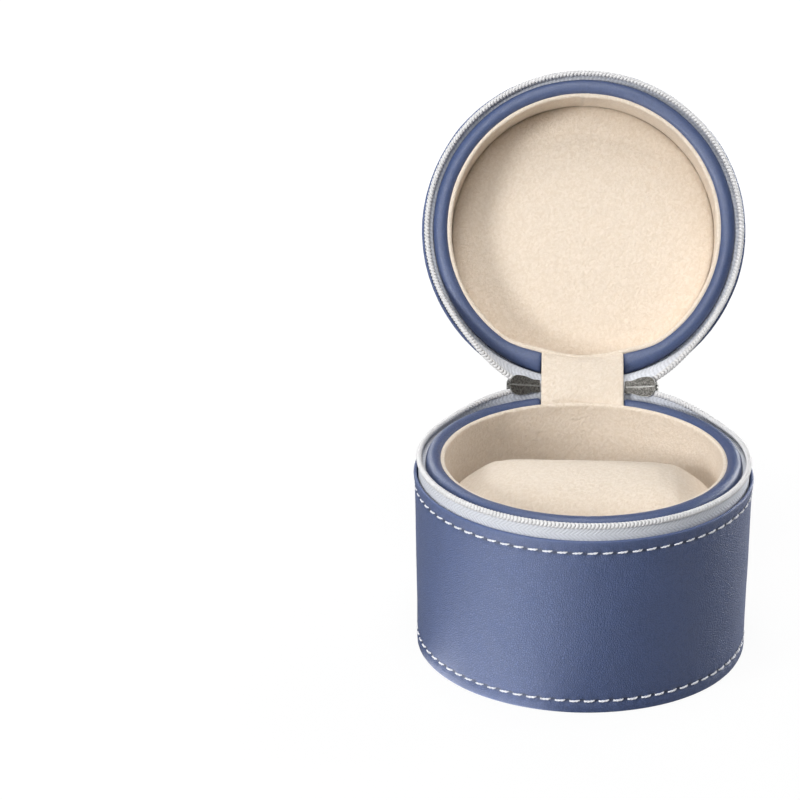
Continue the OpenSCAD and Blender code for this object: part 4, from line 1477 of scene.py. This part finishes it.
class CASE_OT_hinge_straps(bpy.types.Operator):
    """Join drum and lid with the suede strap inside and the leather strap outside"""

    bl_idname = "case.hinge_straps"
    bl_label = "Hinge straps"

    def execute(self, context):
        plan = Plan(context)
        self.join_inside(context, plan)
        self.join_outside(context, plan)
        return {"FINISHED"}

    def join_inside(self, context, plan):
        """The suede strap, glued behind the linings and folded between the collars."""
        seat, depth = SUEDE_AT - plan.hinge_y, plan.mid - plan.lining_top
        start, end = (SUEDE_AT, plan.lining_top), plan.on_lid(seat - 2.4, depth)
        rise, reach = (start[0], start[1] + 4.6), plan.on_lid(seat - 2.4, depth - 4.2)
        lid_foot = plan.on_lid(seat, plan.mid - plan.ring_bottom - 0.3)
        path = np.vstack([
            np.linspace((SUEDE_AT, plan.ring_bottom + 0.3), start, 8)[:-1],
            bezier(start, rise, reach, end, 34),
            np.linspace(end, lid_foot, 8)[1:],
        ])
        curve = self.hugging(plan, path, free=0.30, ease=0.46, radius=42.6)
        suede = ribbon("hinge_inner_strap", path, plan.strap_width, curve, thick=0.9, steps=41)
        places = places_of(suede)
        ripple = wobble(places * [1.6, 0.5, 0.5], 7.0, 21.0) * 0.14
        places[:, 1] += ripple + 0.16 * hump(places[:, 0], 0.9)
        complete(context, put(suede, places), "cream_suede", None, "hinge_suede")
        start, end = (0, start[0] * 0.001, start[1] * 0.001), (0, end[0] * 0.001, end[1] * 0.001)
        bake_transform(suede)
        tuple(start)
        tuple(end)

    def join_outside(self, context, plan):
        """The leather strap, sewn to both walls over the hinge."""
        out, rise, lap = 0.9, plan.mid - plan.leather_top, 8.0
        brow, lid_brow = (plan.hinge_y + out, plan.mid - rise + 1), plan.on_lid(out, rise - 1)
        over = ((brow[0] + lid_brow[0]) / 2, plan.mid - 0.3)
        foot, lid_foot = (brow[0], plan.mid - rise - lap), plan.on_lid(out, rise + lap)
        path = np.vstack([
            refined(np.array([foot, brow]), 0.8, False)[:-1],
            bezier(brow, over, over, lid_brow, 22),
            refined(np.array([lid_brow, lid_foot]), 0.8, False)[1:],
        ])
        curve = self.hugging(plan, path, free=0.30, ease=0.5, radius=plan.edge_radius)
        strap = ribbon("hinge_outer_strap", path, plan.strap_width, curve, thick=1.0)
        complete(context, strap, "navy_leather", None, "hinge_leather")
        start = (0, (plan.hinge_y + out) * 0.001, (plan.mid - 3.0) * 0.001)
        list(plan.on_lid(out, 3.0) * 0.001)
        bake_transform(strap)

    @staticmethod
    def hugging(plan, path, free, ease, radius):
        """How a strap lies back along the round walls at both ends, and flat over its free middle."""
        far = np.linspace(0, 1, len(path))
        hold = eased(np.clip((np.abs(far - 0.5) * 2 - free) / ease, 0, 1))
        lean = plan.opened * np.clip((far - 0.35) / 0.3, 0, 1)
        back = np.stack([-np.cos(lean), np.sin(lean)], -1) * hold[:, None]
        return lambda x: back[:, None] * (radius - np.sqrt(radius**2 - x**2))[None, :, None]


# ---------------------------------------------------------------- pillow


class CASE_OT_pillow(bpy.types.Operator):
    """Stuff the watch pillow"""

    bl_idname = "case.pillow"
    bl_label = "Pillow"
    # Where the end seams are, as a share of the half length; how square the pillow is round its
    # middle; its size before it is stuffed, as a share of its room; how far its crown rises over
    # the room of the solids; and how far the stuffing may push it out, in millimetres.
    seam, square, slack, crown, swell = 0.62, 2.9, 0.965, 0.9, 3.0

    def execute(self, context):
        box_low, box_high = (np.array(corner) * 1000 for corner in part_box("pillow_cover"))
        box_high[2] += self.crown
        centre, half = (box_low + box_high) / 2, (box_high - box_low) / 2
        shape = bmesh.new()
        bmesh.ops.create_cube(shape, size=2)
        bmesh.ops.subdivide_edges(shape, edges=shape.edges[:], cuts=21, use_grid_fill=True)
        for v in shape.verts:
            x, y, z = np.clip(v.co, -1, 1)
            most = max(abs(y), abs(z))
            size = (abs(y) ** self.square + abs(z) ** self.square) ** (1 / self.square)
            around = np.array([y, z]) * (most / size if size else 1)
            cap = max(0.0, (abs(x) - self.seam) / (1 - self.seam))
            around *= [1 - 0.26 * cap**1.6, 1 - 0.30 * cap**1.25]
            far = x * (1 - 0.07 * most**4 * cap)
            v.co = (centre + np.array([far, *around]) * half * [1.0, self.slack, self.slack]) * 0.001
        pillow = from_shape("watch_pillow", shape)
        self.stuff(context, pillow)
        self.settle(pillow, centre, half)
        pillow.modifiers.new("smooth", "SUBSURF").levels = 1
        pillow.modifiers["smooth"].render_levels = 1
        graph = context.evaluated_depsgraph_get()
        rounded = bpy.data.meshes.new_from_object(pillow.evaluated_get(graph))
        pillow.modifiers.clear()
        pillow.data = rounded
        smooth_all(rounded)
        complete(context, pillow, "cream_suede", "pillow", "pillow_cover", "pillow_core")
        return {"FINISHED"}

    def stuff(self, context, pillow):
        """Fills the cover with a short cloth simulation."""
        for item in context.selected_objects:
            item.select_set(False)
        context.view_layer.objects.active = pillow
        pillow.select_set(True)
        pillow.data.remesh_voxel_size = 0.0024
        bpy.ops.object.voxel_remesh()
        rest = np.array([v.co for v in pillow.data.vertices])
        cloth = pillow.modifiers.new("stuffing", "CLOTH")
        cloth.settings.use_pressure = True
        cloth.settings.uniform_pressure_force = 4.0
        cloth.settings.effector_weights.gravity = 0.0
        cloth.settings.quality = 6
        cloth.settings.tension_stiffness = cloth.settings.compression_stiffness = 20
        cloth.settings.bending_stiffness = 0.6
        cloth.settings.shrink_min = -0.008
        for number in range(1, 21):
            context.scene.frame_set(number)
        graph = context.evaluated_depsgraph_get()
        moved = np.array([v.co for v in pillow.evaluated_get(graph).data.vertices])
        pillow.modifiers.clear()
        context.scene.frame_set(1)
        step = moved - rest
        far = np.linalg.norm(step, axis=1)
        step *= np.clip(self.swell * 0.001 / np.maximum(far, 1e-9), 0, 1)[:, None]
        pillow.data.vertices.foreach_set("co", (rest + step).ravel())
        pillow.data.update()

    def settle(self, pillow, centre, half):
        """Keeps the pillow in its room: flat under itself, clear of the lining, with seams and soft dents."""
        places = places_of(pillow)
        middle = (places - centre) * [0, 1, 1]
        girth = np.linalg.norm(middle, axis=1)
        turn_round = np.arctan2(middle[:, 2], middle[:, 1])
        from_seam = np.abs(places[:, 0]) - self.seam * half[0] - 0.6 * wobble(places, 12.0, 41.0)
        waves = np.sin(turn_round * 46 + 2 * wobble(places, 8.0, 43.0))
        groove = 0.55 * hump(from_seam, 0.95) + waves * np.exp(-np.abs(from_seam) / 2.4) * 0.10
        dent = wobble(places * [1, 1, 1.2], 19.0, 31.0) * 0.55 + wobble(places, 7.0, 33.0) * 0.14
        places += middle / np.maximum(girth, 1e-6)[:, None] * (dent - groove)[:, None]
        places[:, 2] = np.clip(places[:, 2], centre[2] - half[2] + 0.15, centre[2] + half[2] + 1.2)
        distance = np.hypot(places[:, 0], places[:, 1])
        places[:, :2] *= np.minimum(1, (half[0] - 0.1) / np.maximum(distance, 1e-6))[:, None]
        put(pillow, places)


BOARDS = ("base_board", "body_shell", "body_collar_board", "lid_shell", "lid_collar_board", "lid_board")


class CASE_OT_boards(bpy.types.Operator):
    """Give the boards inside the walls their fibre"""

    bl_idname = "case.boards"
    bl_label = "Boards"

    def execute(self, context):
        for name in BOARDS:
            coat(context, frame["nodes"][name], "greyboard")
        return {"FINISHED"}


# ---------------------------------------------------------------- stage


# The lamps: name, place and size in metres, and power in watts. All of them face AIM.
LAMPS = (
    ("window", (-0.72, -0.68, 0.34), (0.30, 0.30), 6.5),
    ("front", (-0.10, -0.90, 0.95), (0.6, 0.5), 5.6),
    ("ceiling", (-0.05, -0.15, 1.30), (0.7, 0.7), 9.0),
    ("left", (-0.50, 0.88, 0.42), (0.5, 0.3), 4.0),
    ("back", (0.62, 0.80, 0.16), (0.5, 0.3), 7.0),
    ("rim", (0.98, 0.38, 0.20), (0.25, 0.4), 4.0),
)
AIM = (0, 0.02, 0.06)
CAMERA_AT, CAMERA_WAY = (-0.0200, -0.9996, 0.4973), (-0.0333, 0.9221, -0.3855)
# The colour of the paper's light, and the way from the case in which the paper shines.
WHITE = (1, 1, 1, 1)
SHINE_WAY = (-0.66, -0.75, 0)


class CASE_OT_studio(bpy.types.Operator):
    """Set the floor, the lights and the camera"""

    bl_idname = "case.studio"
    bl_label = "Studio"

    def execute(self, context):
        scene = context.scene
        scene.view_settings.view_transform = "Standard"
        shape = bmesh.new()
        bmesh.ops.create_grid(shape, x_segments=1, y_segments=1, size=6)
        floor = from_shape("floor", shape)
        floor.location.z = -0.00005
        floor.data.materials.append(self.paper())
        self.sky(scene)
        for name, place, size, power in LAMPS:
            light = bpy.data.lights.new(name, "AREA")
            light.shape, light.size, light.size_y, light.energy = "RECTANGLE", *size, power
            self.point(linked(name, light), place, Vector(AIM) - Vector(place))
        lens = bpy.data.cameras.new("camera")
        lens.lens, lens.sensor_width, lens.clip_start, lens.clip_end = 160.7, 36.0, 0.05, 30
        scene.camera = linked("camera", lens)
        self.point(scene.camera, CAMERA_AT, Vector(CAMERA_WAY))
        return {"FINISHED"}

    @staticmethod
    def point(item, place, way):
        """Sets a lamp or the camera in its place and turns it a way."""
        item.location = place
        item.rotation_euler = way.to_track_quat("-Z", "Y").to_euler()

    @staticmethod
    def paper():
        """White paper that takes soft shadows, and shines in one direction for glossy rays only."""
        paper, g, shader, place = new_finish("paper", Specular_IOR_Level=0.1)
        ray = g.tree.nodes.new("ShaderNodeLightPath")
        camera, through = (Wire(g, ray.outputs[f"Is {kind} Ray"]) for kind in ("Camera", "Transmission"))
        seen = g.math("MINIMUM", camera + through, 1.0)
        grain = g.noise(place, 40.0, 2)
        body = g.shade(grain * 0.02, (0.42, 0.42, 0.42), (0.40, 0.40, 0.40))
        dress(g, shader, body, 0.8 + grain * 0.05, g.bump(grain, 0.001))
        glow = g.add("ShaderNodeEmission", None, {"Color": WHITE, "Strength": 1.08})
        far = g.smooth(g.vector("LENGTH", place, out="Value"), 90.0, 420.0)
        sockets = {0: seen * (0.86 + far * 0.14), 1: Wire(g, shader.outputs[0]), 2: glow}
        mixed = g.add("ShaderNodeMixShader", None, sockets)
        glossy = g.add("ShaderNodeLightPath", out="Is Glossy Ray")
        flat = g.vector("NORMALIZE", g.vector("MULTIPLY", place, (1, 1, 0)))
        toward = g.vector("DOT_PRODUCT", flat, SHINE_WAY, out="Value")
        pool = g.smooth(toward, 0.78, 0.99) * glossy
        sheen = g.add("ShaderNodeEmission", None, {"Color": WHITE, "Strength": 5.0})
        mixed = g.add("ShaderNodeMixShader", None, {0: pool, 1: mixed, 2: sheen})
        g.tree.links.new(mixed.socket, g.tree.nodes["Material Output"].inputs["Surface"])
        return paper

    @staticmethod
    def sky(scene):
        """An even pale sky, white where it is seen."""
        world = bpy.data.worlds.new("sky")
        scene.world = world
        world.use_nodes = True
        g = Graph(world.node_tree)
        shown = g.add("ShaderNodeLightPath", out="Is Camera Ray")
        back = world.node_tree.nodes["Background"]
        back.inputs["Color"].default_value = (0.93, 0.96, 1.0, 1)
        g.tree.links.new((0.07 + shown * 0.93).socket, back.inputs["Strength"])


# ---------------------------------------------------------------- add-on


PIECES = (
    CASE_OT_drum_leather, CASE_OT_lid_leather, CASE_OT_collars, CASE_OT_linings, CASE_OT_zip_tapes,
    CASE_OT_zip_coils, CASE_OT_sliders, CASE_OT_pulls, CASE_OT_stitches, CASE_OT_hinge_straps,
    CASE_OT_pillow, CASE_OT_boards, CASE_OT_studio,
)


class CASE_PT_panel(bpy.types.Panel):
    """Sizes, colours and steps of the case"""

    bl_idname = "CASE_PT_panel"
    bl_label = "Watch travel case"
    bl_space_type = "VIEW_3D"
    bl_region_type = "UI"
    bl_category = "Case"

    def draw(self, context):
        for group in (context.scene.case_sizes, context.scene.case_colours):
            column = self.layout.column(align=True)
            for name in group.__annotations__:
                column.prop(group, name)
        for piece in PIECES:
            self.layout.operator(piece.bl_idname)


CLASSES = (CaseSizes, CaseColours, *PIECES, CASE_PT_panel)


def register():
    for item in CLASSES:
        bpy.utils.register_class(item)
    bpy.types.Scene.case_sizes = bpy.props.PointerProperty(type=CaseSizes)
    bpy.types.Scene.case_colours = bpy.props.PointerProperty(type=CaseColours)


def unregister():
    del bpy.types.Scene.case_colours
    del bpy.types.Scene.case_sizes
    for item in reversed(CLASSES):
        bpy.utils.unregister_class(item)


def main():
    register()
    for piece in PIECES:
        group, name = piece.bl_idname.split(".")
        getattr(getattr(bpy.ops, group), name)()


if __name__ == "__main__":
    main()
